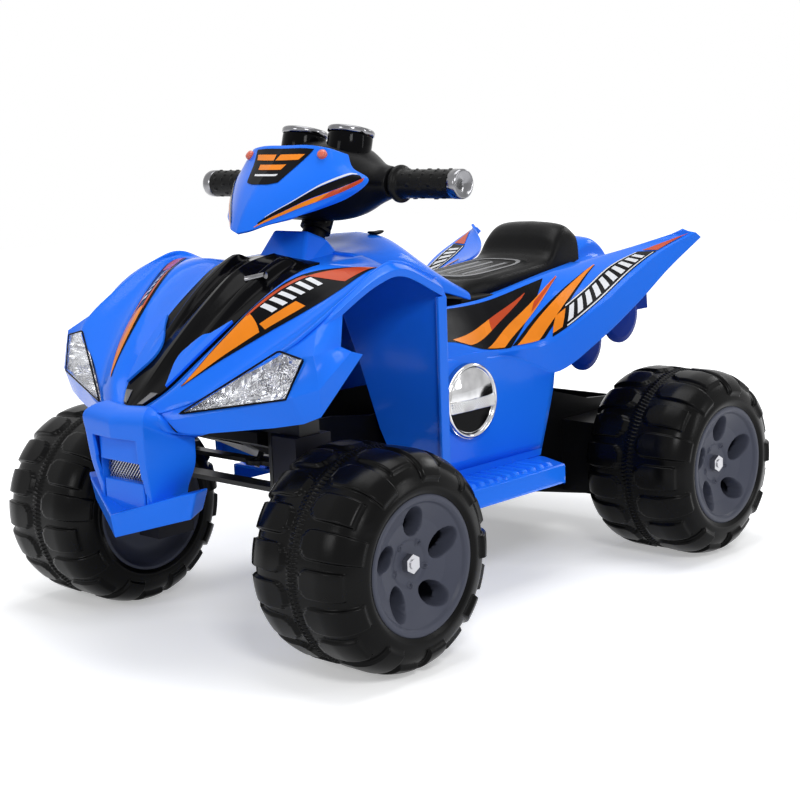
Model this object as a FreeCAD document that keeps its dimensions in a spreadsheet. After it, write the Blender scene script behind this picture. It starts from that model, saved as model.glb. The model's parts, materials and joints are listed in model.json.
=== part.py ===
import FreeCAD, Part
import math
import os
import Sketcher
from FreeCAD import Placement, Rotation, Vector

# A child's battery quad bike: moulded body on a black tub, steered front wheels, driven rear wheels.
# Frame: the ground is z = 0, the bike faces -Y and its left side is +X. Millimetres.

doc = FreeCAD.newDocument("quad_bike")

SIZES = (
    ("wheelbase", "654", "front axle to rear axle"),
    ("wheel_diameter", "270", "tyre, over the tread pads"),
    ("tyre_width", "174", "tyre, sidewall to sidewall"),
    ("track_width", "502", "between the middles of the left and right tyres"),
    ("rim_diameter", "170", "barrel that the tyre beads sit on"),
    ("front_overhang", "187", "front axle to the tip of the mask"),
    ("axle_diameter", "12", "rear axle and front stub axles"),
    ("kingpin_diameter", "10", "pins that the knuckles turn on"),
    ("knuckle_depth", "42", "knuckle block, inner to outer face"),
    ("knuckle_length", "60", "knuckle block, front to back"),
    ("arm_length", "50", "kingpin to tie rod pin"),
    ("crank_length", "40", "column to its crank pin"),
    ("column_tilt", "30", "column from the upright, in degrees"),
    ("column_diameter", "14", "steering column"),
    ("link_pin_diameter", "8", "pins at the tie rod"),
    ("bar_diameter", "22", "handlebar tube"),
    ("bar_width", "484", "handlebar, end to end"),
    ("grip_diameter", "37", "hand grip"),
    ("grip_length", "112", "hand grip with its end cap"),
    ("tub_width", "180", "chassis tub"),
    ("tub_wall", "5", "chassis tub wall"),
    ("shell_wall", "4", "body mouldings"),
    ("seat_width", "148", "seat"),
    ("footrest_reach", "205", "middle of the bike to the outer edge of a footrest"),
    ("cover_diameter", "104", "round engine cover"),
    ("gear_module", "1.5", "tooth size of the drive gears"),
    ("drive_teeth", "54", "teeth of a wheel's drive gear"),
    ("pinion_teeth", "12", "teeth of a motor pinion"),
    ("motor_diameter", "36", "drive motor"),
    ("running_gap", "0.3", "between faces that move past each other"),
    ("bearing_gap", "0.05", "a running bore over its shaft, in radius"),
    ("socket_bore", "5.6", "charge socket"),
)
DERIVED = (
    ("axle_height", "=wheel_diameter / 2", "wheel centres above the ground"),
    ("front_axle_y", "=(front_overhang - wheel_diameter / 2 - wheelbase) / 2", "front axle"),
    ("rear_axle_y", "=front_axle_y + wheelbase", "rear axle"),
    ("tyre_inner_x", "=(track_width - tyre_width) / 2", "inner face of a tyre"),
    ("kingpin_x", "=tyre_inner_x - 26", "kingpin"),
    ("gear_distance", "=gear_module * (drive_teeth + pinion_teeth) / 2", "axle to motor shaft"),
    ("tub_half", "=tub_width / 2", "outer side of the tub"),
    ("axle_radius", "=axle_diameter / 2", "rear axle and stub axles"),
)

sheet = doc.addObject("Spreadsheet::Sheet", "sizes")
for row, (alias, value, meaning) in enumerate(SIZES + DERIVED, start=1):
    sheet.set("A%d" % row, meaning)
    sheet.set("B%d" % row, value)
    sheet.setAlias("B%d" % row, alias)
doc.recompute()


def size(alias):
    """A number from the sheet."""
    return float(sheet.get(alias))


FRONT = size("front_axle_y")
REAR = size("rear_axle_y")
AXLE = size("axle_height")
WALL = size("shell_wall")
TRACK_SHARE = size("track_width") / 502
SIDES = ((1, "left"), (-1, "right"))
NODES = []


def at_front(x, back, up):
    """A point given from the front axle line; its width follows the track."""
    return Vector(x * TRACK_SHARE, FRONT + back, AXLE + up)


def at_middle(x, back, up):
    """A point given from the front axle line, at its own distance from the middle."""
    return Vector(x, FRONT + back, AXLE + up)


def at_rear(x, back, up):
    """A point given from the rear axle line."""
    return Vector(x, REAR + back, AXLE + up)


def place(thing, x="0", y="0", z="0"):
    """Binds where a thing stands."""
    thing.setExpression("Placement.Base.x", str(x))
    thing.setExpression("Placement.Base.y", str(y))
    thing.setExpression("Placement.Base.z", str(z))
    return thing


def node(thing, label):
    """Names a finished sub-part."""
    thing.Label = label
    NODES.append(thing)
    return thing


def new_body(label, x="0", y="0", z="0"):
    return node(place(doc.addObject("PartDesign::Body", label), x, y, z), label)


def sketch_on(owner, role, lift="0"):
    """A sketch on one of the body's own planes, lifted along that plane's normal."""
    sketch = owner.newObject("Sketcher::SketchObject", "outline")
    plane = next(p for p in owner.Origin.OriginFeatures if p.Role == role)
    sketch.AttachmentSupport = [(plane, "")]
    sketch.MapMode = "FlatFace"
    sketch.setExpression("AttachmentOffset.Base.z", str(lift))
    return sketch


def draw_outline(sketch, points):
    """A closed outline whose corners are bound to the sheet."""
    corners = []
    for u, v in points:
        spot = [float(sketch.evalExpression(str(part))) for part in (u, v)]
        corners.append(Vector(spot[0], spot[1], 0))
    first = sketch.GeometryCount
    count = len(corners)
    for i in range(count):
        sketch.addGeometry(Part.LineSegment(corners[i], corners[(i + 1) % count]), False)
    for i in range(count):
        after = first + (i + 1) % count
        sketch.addConstraint(Sketcher.Constraint("Coincident", first + i, 2, after, 1))
    for i, (u, v) in enumerate(points):
        bind_spot(sketch, first + i, 1, u, v, corners[i])


def bind_spot(sketch, edge, end, u, v, spot):
    """Binds both coordinates of one sketch point."""
    for kind, text, amount in (("DistanceX", u, spot.x), ("DistanceY", v, spot.y)):
        number = sketch.addConstraint(Sketcher.Constraint(kind, -1, 1, edge, end, amount))
        sketch.setExpression("Constraints[%d]" % number, str(text))


def draw_circle(sketch, u, v, radius):
    """A circle whose centre and radius are bound to the sheet."""
    spot = Vector(float(sketch.evalExpression(str(u))), float(sketch.evalExpression(str(v))), 0)
    amount = float(sketch.evalExpression(str(radius)))
    edge = sketch.addGeometry(Part.Circle(spot, Vector(0, 0, 1), amount), False)
    bind_spot(sketch, edge, 3, u, v, spot)
    number = sketch.addConstraint(Sketcher.Constraint("Radius", edge, amount))
    sketch.setExpression("Constraints[%d]" % number, str(radius))


def extrude(owner, role, lift, length, points=None, circle=None, cut=False, both=False, back=False):
    """A pad, or a pocket where cut is set, from an outline or from a circle."""
    sketch = sketch_on(owner, role, lift)
    if points:
        draw_outline(sketch, points)
    if circle:
        draw_circle(sketch, *circle)
    feature = owner.newObject("PartDesign::Pocket" if cut else "PartDesign::Pad", "cut" if cut else "pad")
    feature.Profile = sketch
    feature.setExpression("Length", str(length))
    feature.Midplane = both
    feature.Reversed = back
    owner.Tip = feature
    return feature, sketch


def turn(owner, *outlines):
    """A revolution about the body's X axis; a second outline is a hollow inside the first."""
    sketch = sketch_on(owner, "XY_Plane")
    for points in outlines:
        draw_outline(sketch, points)
    feature = owner.newObject("PartDesign::Revolution", "turned")
    feature.Profile = sketch
    feature.ReferenceAxis = (sketch, ["H_Axis"])
    feature.Angle = 360
    owner.Tip = feature
    return feature, sketch


def polar(owner, feature, sketch, axis, count):
    """Repeats a feature around an axis."""
    pattern = owner.newObject("PartDesign::PolarPattern", "pattern")
    pattern.Originals = [feature]
    pattern.Axis = (sketch, [axis])
    pattern.Angle = 360
    pattern.Occurrences = count
    owner.Tip = pattern
    return pattern


def box(x0, y0, z0, long_x, long_y, long_z):
    """A block bound to the sheet by its lowest corner and its lengths."""
    made = place(doc.addObject("Part::Box", "block"), x0, y0, z0)
    made.setExpression("Length", str(long_x))
    made.setExpression("Width", str(long_y))
    made.setExpression("Height", str(long_z))
    return made


ALONG = {"x": Rotation(Vector(0, 1, 0), 90), "y": Rotation(Vector(1, 0, 0), -90), "z": Rotation()}


def rod(direction, x, y, z, radius, length):
    """A round bar bound to the sheet, from its starting point along a named direction."""
    made = doc.addObject("Part::Cylinder", "bar")
    made.Placement = Placement(Vector(), ALONG[direction])
    place(made, x, y, z)
    made.setExpression("Radius", str(radius))
    made.setExpression("Height", str(length))
    return made


def joined(*pieces):
    made = doc.addObject("Part::MultiFuse", "joined")
    made.Shapes = list(pieces)
    return made


def without(base, *tools):
    made = doc.addObject("Part::Cut", "holed")
    made.Base = base
    made.Tool = tools[0] if len(tools) == 1 else joined(*tools)
    return made


def group(label, *pieces):
    made = doc.addObject("Part::Compound", label)
    made.Links = list(pieces)
    return node(made, label)


def hex_nut(x0, y, z, across, thick, bore):
    """A nut along X, given by its width across corners."""
    prism = doc.addObject("Part::Prism", "hexagon")
    prism.Polygon = 6
    prism.Placement = Placement(Vector(), ALONG["x"])
    place(prism, x0, y, z)
    prism.setExpression("Circumradius", "%s / 2" % across)
    prism.setExpression("Height", str(thick))
    return without(prism, rod("x", x0, y, z, bore, thick))


def free_shape(label, shape, placement=Placement()):
    """A sub-part with a free form."""
    made = doc.addObject("Part::Feature", label)
    made.Shape = shape
    made.Placement = placement
    return node(made, label)


# Free forms: moulded skins given by rows of points, each row one line along the moulding.

def between(a, b, c, d, share):
    """A point of the smooth curve through four points, between the middle two."""
    t = share
    return (b * 2 + (c - a) * t + (a * 2 - b * 5 + c * 4 - d) * t ** 2
            + (b * 3 - a - c * 3 + d) * t ** 3) * 0.5


def smooth(row, steps):
    """A row of points with steps pieces to each stretch, on a smooth curve."""
    ends = [row[0] * 2 - row[1]] + list(row) + [row[-1] * 2 - row[-2]]
    fine = []
    for i in range(len(row) - 1):
        fine += [between(*ends[i:i + 4], k / steps) for k in range(steps)]
    return fine + [row[-1]]


def solid_of(points, corners):
    """A closed solid from points and triangles."""
    shell = Part.Shape()
    shell.makeShapeFromMesh((points, corners), 0.001)
    solid = Part.makeSolid(shell)
    if solid.Volume < 0:
        solid.reverse()
    return solid


def skin(rows, wall, outward, straight=False):
    """A wall under a grid of points; outward says which way the skin faces, or lies if straight is set."""
    high = len(rows)
    wide = len(rows[0])
    inner = []
    for i in range(high):
        for j in range(wide):
            along = rows[i][min(j + 1, wide - 1)] - rows[i][max(j - 1, 0)]
            across = rows[min(i + 1, high - 1)][j] - rows[max(i - 1, 0)][j]
            normal = along.cross(across)
            normal.normalize()
            if normal.dot(outward(rows[i][j])) < 0:
                normal = normal * -1
            if straight:
                normal = outward(rows[i][j])
            inner.append(rows[i][j] - normal * wall)
    points = [p for row in rows for p in row] + inner
    under = high * wide
    corners = []
    for i in range(high - 1):
        for j in range(wide - 1):
            a = i * wide + j
            b, c, d = a + 1, a + wide, a + wide + 1
            corners += [(a, b, c), (b, d, c)]
            corners += [(a + under, c + under, b + under), (b + under, c + under, d + under)]
    rim = [j for j in range(wide)]
    rim += [i * wide + wide - 1 for i in range(1, high)]
    rim += [(high - 1) * wide + j for j in range(wide - 2, -1, -1)]
    rim += [i * wide for i in range(high - 2, 0, -1)]
    for a, b in zip(rim, rim[1:] + rim[:1]):
        corners += [(a, a + under, b), (b, a + under, b + under)]
    return solid_of(points, corners)


def mirrored(rows):
    """Rows from the middle outwards, with their images on the other side put first."""
    other = [[Vector(-p.x, p.y, p.z) for p in row] for row in rows[:0:-1]]
    return other + rows


def flip(shape):
    """The same form on the other side of the bike."""
    return shape.mirror(Vector(), Vector(1, 0, 0))


def plate(corners, depth):
    """A flat plate: an outline moved along depth."""
    wire = Part.makePolygon(corners + corners[:1])
    return Part.Face(wire).extrude(depth)


def bar_between(start, end, radius):
    return Part.makeCylinder(radius, (end - start).Length, start, end - start)


def up(point):
    return Vector(0, 0, 1)


def from_middle(point):
    return Vector(point.x, 0, abs(point.x))


# Chassis tub: side profile padded across, then hollowed from above.

tub = new_body("chassis_tub", "0", "0", "sizes.axle_height")
F = "sizes.front_axle_y %+g"
R = "sizes.rear_axle_y %+g"
TUB_SIDE = [(F % -29, 123), (F % 61, 91), (F % 171, 35), (F % 301, -3), (R % -183, -35), (R % -18, -71),
            (R % 47, -71), (R % 72, -45), (R % 72, 70), (R % -6, 77), (R % -92, 101), (R % -175, 127),
            (F % 171, 127), (F % 101, 137), (F % -29, 137)]
TUB_HOLLOW = [(F % 76, 200), (F % 76, 91), (F % 172, 41), (F % 302, 2), (R % -182, -29), (R % -20, -65),
              (R % 45, -65), (R % 66, -43), (R % 66, 200)]
extrude(tub, "YZ_Plane", 0, "sizes.tub_width", TUB_SIDE, both=True)
extrude(tub, "YZ_Plane", 0, "sizes.tub_width - 2 * sizes.tub_wall", TUB_HOLLOW, cut=True, both=True)
SHELF = [(F % 321, -5), (R % -168, -5), (R % -168, -34), (F % 321, -10)]
extrude(tub, "YZ_Plane", 0, 90, SHELF, both=True)
extrude(tub, "YZ_Plane", 0, "sizes.tub_width", circle=("sizes.rear_axle_y", 0, "sizes.axle_radius"),
        cut=True, both=True)
extrude(tub, "YZ_Plane", 0, "sizes.tub_width", circle=("sizes.rear_axle_y - sizes.gear_distance", 0, 9),
        cut=True, both=True)
CRANK_ROOM = 30
extrude(tub, "XY_Plane", 150, 80, [(-CRANK_ROOM, F % -8), (CRANK_ROOM, F % -8), (CRANK_ROOM, F % 80),
                                   (-CRANK_ROOM, F % 80)], cut=True)

# Steering geometry: the column leans back from its lower bearing to the dash.

TILT = math.radians(size("column_tilt"))
LEAN = Vector(0, math.sin(TILT), math.cos(TILT))
CRANK_WAY = Vector(0, math.cos(TILT), -math.sin(TILT))
DASH = at_front(0, 173, 370)
ARM = size("arm_length")
CRANK = size("crank_length")
REACH = (DASH.y + CRANK * CRANK_WAY.y - FRONT - ARM) / LEAN.y
CRANK_PIN = DASH - LEAN * REACH + CRANK_WAY * CRANK
COLUMN_TURN = Rotation(Vector(1, 0, 0), -size("column_tilt"))
ALONG["column"] = COLUMN_TURN
COLUMN_R = size("column_diameter") / 2
LINK_Z = CRANK_PIN.z
LINK_THICK = 6
CROSS_LOW = AXLE + 137
CROSS_THICK = 16
BEAM_LOW = AXLE + 59
BEAM_THICK = 6

column = new_body("steering_column", DASH.x, DASH.y, DASH.z)
column.Placement = Placement(Vector(), COLUMN_TURN)
BAR_Y = FRONT + 203
BAR_Z = AXLE + 430
BAR_R = size("bar_diameter") / 2
COLUMN_TOP = (BAR_Z - BAR_R - DASH.z - COLUMN_R * LEAN.y) / LEAN.z - size("running_gap")
CRANK_LIFT = 12
CRANK_THICK = 8
extrude(column, "XY_Plane", CRANK_LIFT - REACH, REACH - CRANK_LIFT + COLUMN_TOP,
        circle=(0, 0, "sizes.column_diameter / 2"))
extrude(column, "XY_Plane", CRANK_LIFT - REACH, CRANK_THICK,
        [(-9, -9), (9, -9), (7, "sizes.crank_length + 7"), (-7, "sizes.crank_length + 7")])
extrude(column, "XY_Plane", -REACH - 8, CRANK_LIFT + 8 + 2,
        circle=(0, "sizes.crank_length", "sizes.link_pin_diameter / 2"))

# Front crossmember with the lower column bearing, axle beam, kingpins.

HALF_BEAM = 12.5
KING = "sizes.kingpin_x"
cross_bar = box("-%s - 16" % KING, F % -17, CROSS_LOW, "2 * %s + 32" % KING, 34, CROSS_THICK)
bearing_block = box(-22, F % 10, CROSS_LOW, 44, 66, CROSS_THICK)
hole_start = DASH - LEAN * REACH
column_hole = rod("column", hole_start.x, hole_start.y, hole_start.z,
                  "sizes.column_diameter / 2 + sizes.bearing_gap", REACH)
pin_holes = [rod("z", "%d * %s" % (side, KING), F % 0, CROSS_LOW, "sizes.kingpin_diameter / 2", CROSS_THICK)
             for side, _ in SIDES]
node(without(joined(cross_bar, bearing_block), column_hole, *pin_holes), "front_crossmember")

beam = new_body("axle_beam", "0", "sizes.front_axle_y", BEAM_LOW)
extrude(beam, "XY_Plane", 0, BEAM_THICK, [("-" + KING, -HALF_BEAM), (KING, -HALF_BEAM), (KING, HALF_BEAM),
                                          ("-" + KING, HALF_BEAM)])
for side, _ in SIDES:
    where = "%d * %s" % (side, KING)
    extrude(beam, "XY_Plane", 0, BEAM_THICK, circle=(where, 0, HALF_BEAM))
for side, _ in SIDES:
    inner = "%d * (sizes.tub_half + 1)" % side
    outer = "%d * (sizes.tub_half + 7)" % side
    extrude(beam, "XZ_Plane", 0, 2 * HALF_BEAM,
            [(inner, 0), (outer, 0), (outer, CROSS_LOW - BEAM_LOW), (inner, CROSS_LOW - BEAM_LOW)], both=True)
for side, _ in SIDES:
    where = "%d * %s" % (side, KING)
    extrude(beam, "XY_Plane", BEAM_THICK, BEAM_THICK, circle=(where, 0, "sizes.kingpin_diameter / 2"), cut=True)

PIN_LOW = BEAM_LOW - 4
PIN_TOP = CROSS_LOW + CROSS_THICK
kingpins = []
for side, _ in SIDES:
    where = "%d * %s" % (side, KING)
    shank = rod("z", where, F % 0, PIN_LOW, "sizes.kingpin_diameter / 2", PIN_TOP - PIN_LOW)
    head = rod("z", where, F % 0, PIN_TOP, "sizes.kingpin_diameter / 2 + 4", 5)
    kingpins.append(joined(shank, head))
group("kingpins", *kingpins)

# Knuckles, each with its steering arm and link pin; stub axles and their nuts.

ARM_LOW = LINK_Z + LINK_THICK / 2 + 1 - AXLE
ARM_THICK = 8
SLOT_LOW = BEAM_LOW - 6 - AXLE
SLOT_HIGH = BEAM_LOW + BEAM_THICK + 1 - AXLE
KNUCKLE_LOW = -30
HALF_LONG = "sizes.knuckle_length / 2"
AXLE_END = "sizes.track_width / 2 + 71"
for side, name in SIDES:
    knuckle = new_body("knuckle_" + name, "%d * %s" % (side, KING), "sizes.front_axle_y", "sizes.axle_height")
    inner = "%d * -20" % side
    outer = "%d * (sizes.knuckle_depth - 20)" % side
    web = "%d * 14" % side
    top = "%g - sizes.running_gap" % (CROSS_LOW - AXLE - KNUCKLE_LOW)
    extrude(knuckle, "XY_Plane", KNUCKLE_LOW, top,
            [(inner, "-" + HALF_LONG), (outer, "-" + HALF_LONG), (outer, HALF_LONG), (inner, HALF_LONG)])
    extrude(knuckle, "XY_Plane", ARM_LOW, ARM_THICK,
            [(-11, 20), (11, 20), (9, "sizes.arm_length + 9"), (-9, "sizes.arm_length + 9")])
    extrude(knuckle, "XZ_Plane", 0, "sizes.knuckle_length + 2",
            [("%d * -21" % side, SLOT_LOW), (web, SLOT_LOW), (web, SLOT_HIGH), ("%d * -21" % side, SLOT_HIGH)],
            cut=True, both=True)
    extrude(knuckle, "XY_Plane", ARM_LOW - LINK_THICK - 4, LINK_THICK + 5,
            circle=(0, "sizes.arm_length", "sizes.link_pin_diameter / 2"))
    extrude(knuckle, "XY_Plane", CROSS_LOW - AXLE, CROSS_LOW - AXLE - SLOT_HIGH,
            circle=(0, 0, "sizes.kingpin_diameter / 2 + sizes.bearing_gap"), cut=True)
    extrude(knuckle, "YZ_Plane", 0, 80, circle=(0, 0, "sizes.axle_radius"), cut=True, both=True)

    start = "%s - 18" % KING if side > 0 else "-(%s)" % AXLE_END
    long_stub = "%s - %s + 18" % (AXLE_END, KING)
    collar = "%s + 22" % KING if side > 0 else "-(%s + 22) - 3.5" % KING
    stub = joined(rod("x", start, F % 0, "sizes.axle_height", "sizes.axle_radius", long_stub),
                  rod("x", collar, F % 0, "sizes.axle_height", "sizes.axle_radius + 5", 3.5))
    node(stub, "stub_axle_" + name)
    nut_start = "sizes.track_width / 2 + 60.3" if side > 0 else "-(sizes.track_width / 2 + 60.3) - 9"
    node(hex_nut(nut_start, F % 0, "sizes.axle_height", 24, 9, "sizes.axle_radius"), "front_nut_" + name)

# Tie rod between the two link pins, with a wide hole for the crank pin.

PIN_ROOM = "sizes.link_pin_diameter / 2 + 0.3"
link = new_body("tie_rod", "0", "sizes.front_axle_y + sizes.arm_length", LINK_Z - LINK_THICK / 2)
extrude(link, "XY_Plane", 0, LINK_THICK, [("-" + KING, -8), (KING, -8), (KING, 8), ("-" + KING, 8)])
extrude(link, "XY_Plane", 0, LINK_THICK, circle=(0, 0, 17))
for side, _ in SIDES:
    extrude(link, "XY_Plane", 0, LINK_THICK, circle=("%d * %s" % (side, KING), 0, 10))
for side, _ in SIDES:
    extrude(link, "XY_Plane", LINK_THICK, LINK_THICK, circle=("%d * %s" % (side, KING), 0, PIN_ROOM), cut=True)
extrude(link, "XY_Plane", LINK_THICK, LINK_THICK,
        [("-sizes.link_pin_diameter / 2 - 2", -10), ("sizes.link_pin_diameter / 2 + 2", -10),
         ("sizes.link_pin_diameter / 2 + 2", 10), ("-sizes.link_pin_diameter / 2 - 2", 10)], cut=True)

# Wheels: a disc with a dished outer face and five windows, and a tyre with staggered tread pads.

PADS = 15
PAD_SPAN = 17
HALF_TYRE = "sizes.tyre_width / 2"
TYRE_R = "sizes.wheel_diameter / 2"
RIM_R = "sizes.rim_diameter / 2"
BORE = "sizes.axle_radius + sizes.bearing_gap"


def tyre_profile():
    """The tyre's section: outer side, then inner side, as one closed outline."""
    outer = [("-3", RIM_R), ("-0", RIM_R + " + 8"), ("-6", TYRE_R + " - 24"), ("-24", TYRE_R + " - 9"),
             ("-52", TYRE_R + " - 4.5")]
    inner = [("-52.5", TYRE_R + " - 7.5"), ("-26", TYRE_R + " - 11.8"), ("-9", TYRE_R + " - 25.4"),
             ("-3.2", RIM_R + " + 8.2"), ("-6.2", RIM_R)]
    right = [(HALF_TYRE + shift, r) for shift, r in outer]
    left = [("-(%s%s)" % (HALF_TYRE, shift), r) for shift, r in reversed(outer)]
    left_in = [("-(%s%s)" % (HALF_TYRE, shift), r) for shift, r in reversed(inner)]
    right_in = [(HALF_TYRE + shift, r) for shift, r in inner]
    return right + left + left_in + right_in


PAD_SECTION = (("-83", "- 7"), ("-83", ""), ("-40", ""), ("-20", "- 6"), ("-7", "- 20"), ("-9", "- 24"),
               ("-26", "- 11"), ("-52", "- 6.5"))
DISC = [("84", RIM_R), ("84", RIM_R + " - 6"), ("62", "26"), ("60", "22"), ("60", BORE), ("-74", BORE),
        ("-74", "24"), ("-70", "24"), ("-70", RIM_R + " - 5"), ("-84", RIM_R + " - 5"), ("-84", RIM_R)]
DISC_HOLLOW = [("77", RIM_R + " - 5"), ("57.5", "29"), ("55", "20"), ("-66", "20"), ("-66", RIM_R + " - 5")]
OVAL_LONG = 19
OVAL_HIGH = 13

for axle, axle_y in (("front", "sizes.front_axle_y"), ("rear", "sizes.rear_axle_y")):
    for side, name in SIDES:
        spot = ("%d * sizes.track_width / 2" % side, axle_y, "sizes.axle_height")
        facing = Rotation(Vector(0, 0, 1), 0 if side > 0 else 180)

        disc = new_body("wheel_disc_%s_%s" % (axle, name))
        disc.Placement = Placement(Vector(), facing)
        place(disc, *spot)
        turn(disc, DISC, DISC_HOLLOW)
        oval = [("%g" % (OVAL_LONG * math.cos(k * math.pi / 6)),
                 "sizes.rim_diameter / 2 - 31 + %g" % (OVAL_HIGH * math.sin(k * math.pi / 6)))
                for k in range(12)]
        window, sketch = extrude(disc, "YZ_Plane", 90, 55, oval, cut=True)
        polar(disc, window, sketch, "N_Axis", 5)

        tyre = new_body("tyre_%s_%s" % (axle, name))
        tyre.Placement = Placement(Vector(), facing)
        place(tyre, *spot)
        turn(tyre, tyre_profile())
        for half, shift in ((1, 0), (-1, 180 / PADS)):
            sketch = sketch_on(tyre, "XY_Plane")
            sketch.AttachmentOffset = Placement(Vector(), Rotation(Vector(1, 0, 0), shift))
            draw_outline(sketch, [("%d * (%s%s)" % (half, HALF_TYRE, x), TYRE_R + r) for x, r in PAD_SECTION])
            pad = tyre.newObject("PartDesign::Revolution", "tread_pad")
            pad.Profile = sketch
            pad.ReferenceAxis = (sketch, ["H_Axis"])
            pad.Angle = PAD_SPAN
            tyre.Tip = pad
            polar(tyre, pad, sketch, "H_Axis", PADS)

# Rear axle with its nuts, gearbox cases, motors.

node(rod("x", "-(%s)" % AXLE_END, R % 0, "sizes.axle_height", "sizes.axle_radius", "2 * (%s)" % AXLE_END),
     "rear_axle")
group("rear_axle_nuts", *[hex_nut(start, R % 0, "sizes.axle_height", 24, 9, "sizes.axle_radius")
                          for start in ("sizes.track_width / 2 + 60.3", "-(sizes.track_width / 2 + 60.3) - 9")])

CASE_WALL = 4
CASE_DEEP = "(sizes.tyre_inner_x - 14 - sizes.tub_half)"
CASE_BACK = "(sizes.gear_module * sizes.drive_teeth / 2 + 14)"
CASE_FRONT = "(sizes.gear_distance + sizes.gear_module * sizes.pinion_teeth / 2 + 14)"
SLEEVE_R = 15
MOTOR_LONG = 62
motors = []
for side, name in SIDES:
    low = "sizes.tub_half" if side > 0 else "-sizes.tub_half - " + CASE_DEEP
    low_in = "%s + %g" % (low, CASE_WALL)
    case = box(low, "sizes.rear_axle_y - " + CASE_FRONT, "sizes.axle_height - " + CASE_BACK,
               CASE_DEEP, "%s + %s" % (CASE_FRONT, CASE_BACK), "2 * " + CASE_BACK)
    room = box(low_in, "sizes.rear_axle_y - %s + %g" % (CASE_FRONT, CASE_WALL),
               "sizes.axle_height - %s + %g" % (CASE_BACK, CASE_WALL), "%s - %g" % (CASE_DEEP, 2 * CASE_WALL),
               "%s + %s - %g" % (CASE_FRONT, CASE_BACK, 2 * CASE_WALL), "2 * %s - %g" % (CASE_BACK, 2 * CASE_WALL))
    axle_hole = rod("x", low, R % 0, "sizes.axle_height", "sizes.axle_radius", CASE_DEEP)
    out_start = "sizes.tub_half + %s - 20" % CASE_DEEP if side > 0 else "-sizes.tub_half - %s - 1" % CASE_DEEP
    sleeve_hole = rod("x", out_start, R % 0, "sizes.axle_height", SLEEVE_R + 1, 21)
    in_start = "sizes.tub_half - 1" if side > 0 else "-sizes.tub_half - 19"
    shaft_hole = rod("x", in_start, "sizes.rear_axle_y - sizes.gear_distance", "sizes.axle_height", 9, 20)
    node(without(case, room, axle_hole, sleeve_hole, shaft_hole), "gearbox_case_" + name)
    motor_start = "sizes.tub_half - sizes.tub_wall - %g" % MOTOR_LONG
    if side < 0:
        motor_start = "sizes.tub_wall - sizes.tub_half"
    motors.append(rod("x", motor_start, "sizes.rear_axle_y - sizes.gear_distance", "sizes.axle_height",
                      "sizes.motor_diameter / 2", MOTOR_LONG))
group("drive_motors", *motors)


def gear_face(teeth, backlash, turned):
    """A spur gear outline with 20 degree involute flanks."""
    pitch = size("gear_module") * teeth / 2
    base = pitch * math.cos(math.radians(20))
    tip = pitch + size("gear_module") * 0.95
    root = pitch - size("gear_module") * 1.25
    inv_pitch = math.tan(math.radians(20)) - math.radians(20)
    half_tooth = math.pi / (2 * teeth) - backlash / (2 * pitch)
    low = max(base, root)
    flank = []
    for k in range(6):
        radius = low + (tip - low) * k / 5
        roll = math.acos(min(1, base / radius))
        flank.append((radius, half_tooth + inv_pitch - (math.tan(roll) - roll)))
    corners = []
    for i in range(teeth):
        middle = turned + 2 * math.pi * i / teeth
        tooth = [(root, -flank[0][1])] + [(r, -a) for r, a in flank] + [(r, a) for r, a in flank[::-1]]
        tooth += [(root, flank[0][1])]
        corners += [Vector(0, r * math.cos(middle + a), r * math.sin(middle + a)) for r, a in tooth]
    return Part.Face(Part.makePolygon(corners + corners[:1]))


DRIVE_TEETH = int(size("drive_teeth"))
PINION_TEETH = int(size("pinion_teeth"))
BACKLASH = 0.25
GEAR_FROM = size("tub_half") + 18
GEAR_WIDE = 12
PINION_SPOT = REAR - size("gear_distance")
HUB_END = size("track_width") / 2 - 74
AXLE_HOLE = size("axle_radius") + size("bearing_gap")
for side, name in SIDES:
    across = Vector(side, 0, 0)
    wheel_spot = Vector(0, REAR, AXLE)
    teeth = gear_face(DRIVE_TEETH, BACKLASH, math.pi).extrude(across * GEAR_WIDE)
    teeth.translate(wheel_spot + across * GEAR_FROM)
    sleeve = Part.makeCylinder(SLEEVE_R, HUB_END - GEAR_FROM - GEAR_WIDE,
                               wheel_spot + across * (GEAR_FROM + GEAR_WIDE), across)
    bore = Part.makeCylinder(AXLE_HOLE, HUB_END, wheel_spot, across)
    free_shape("drive_gear_" + name, teeth.fuse(sleeve).cut(bore))

    motor_spot = Vector(0, PINION_SPOT, AXLE)
    shaft_from = size("tub_half") - size("tub_wall") + size("running_gap")
    shaft = Part.makeCylinder(2.5, GEAR_FROM - shaft_from, motor_spot + across * shaft_from, across)
    pinion = gear_face(PINION_TEETH, BACKLASH, math.pi / PINION_TEETH).extrude(across * GEAR_WIDE)
    pinion.translate(motor_spot + across * GEAR_FROM)
    free_shape("motor_pinion_" + name, pinion.fuse(shaft))

# Battery and control box on the shelf of the tub.

SHELF_Z = "sizes.axle_height - 5"
node(box(-72, R % -262, SHELF_Z, 144, 92, 95), "battery")
node(box(-45, R % -312, SHELF_Z, 90, 48, 30), "control_box")

# Front body: rows of points from the middle outwards, each running from the nose to the fender's rear edge.
# Each point is x, distance behind the front axle, height above the axle line.

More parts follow.
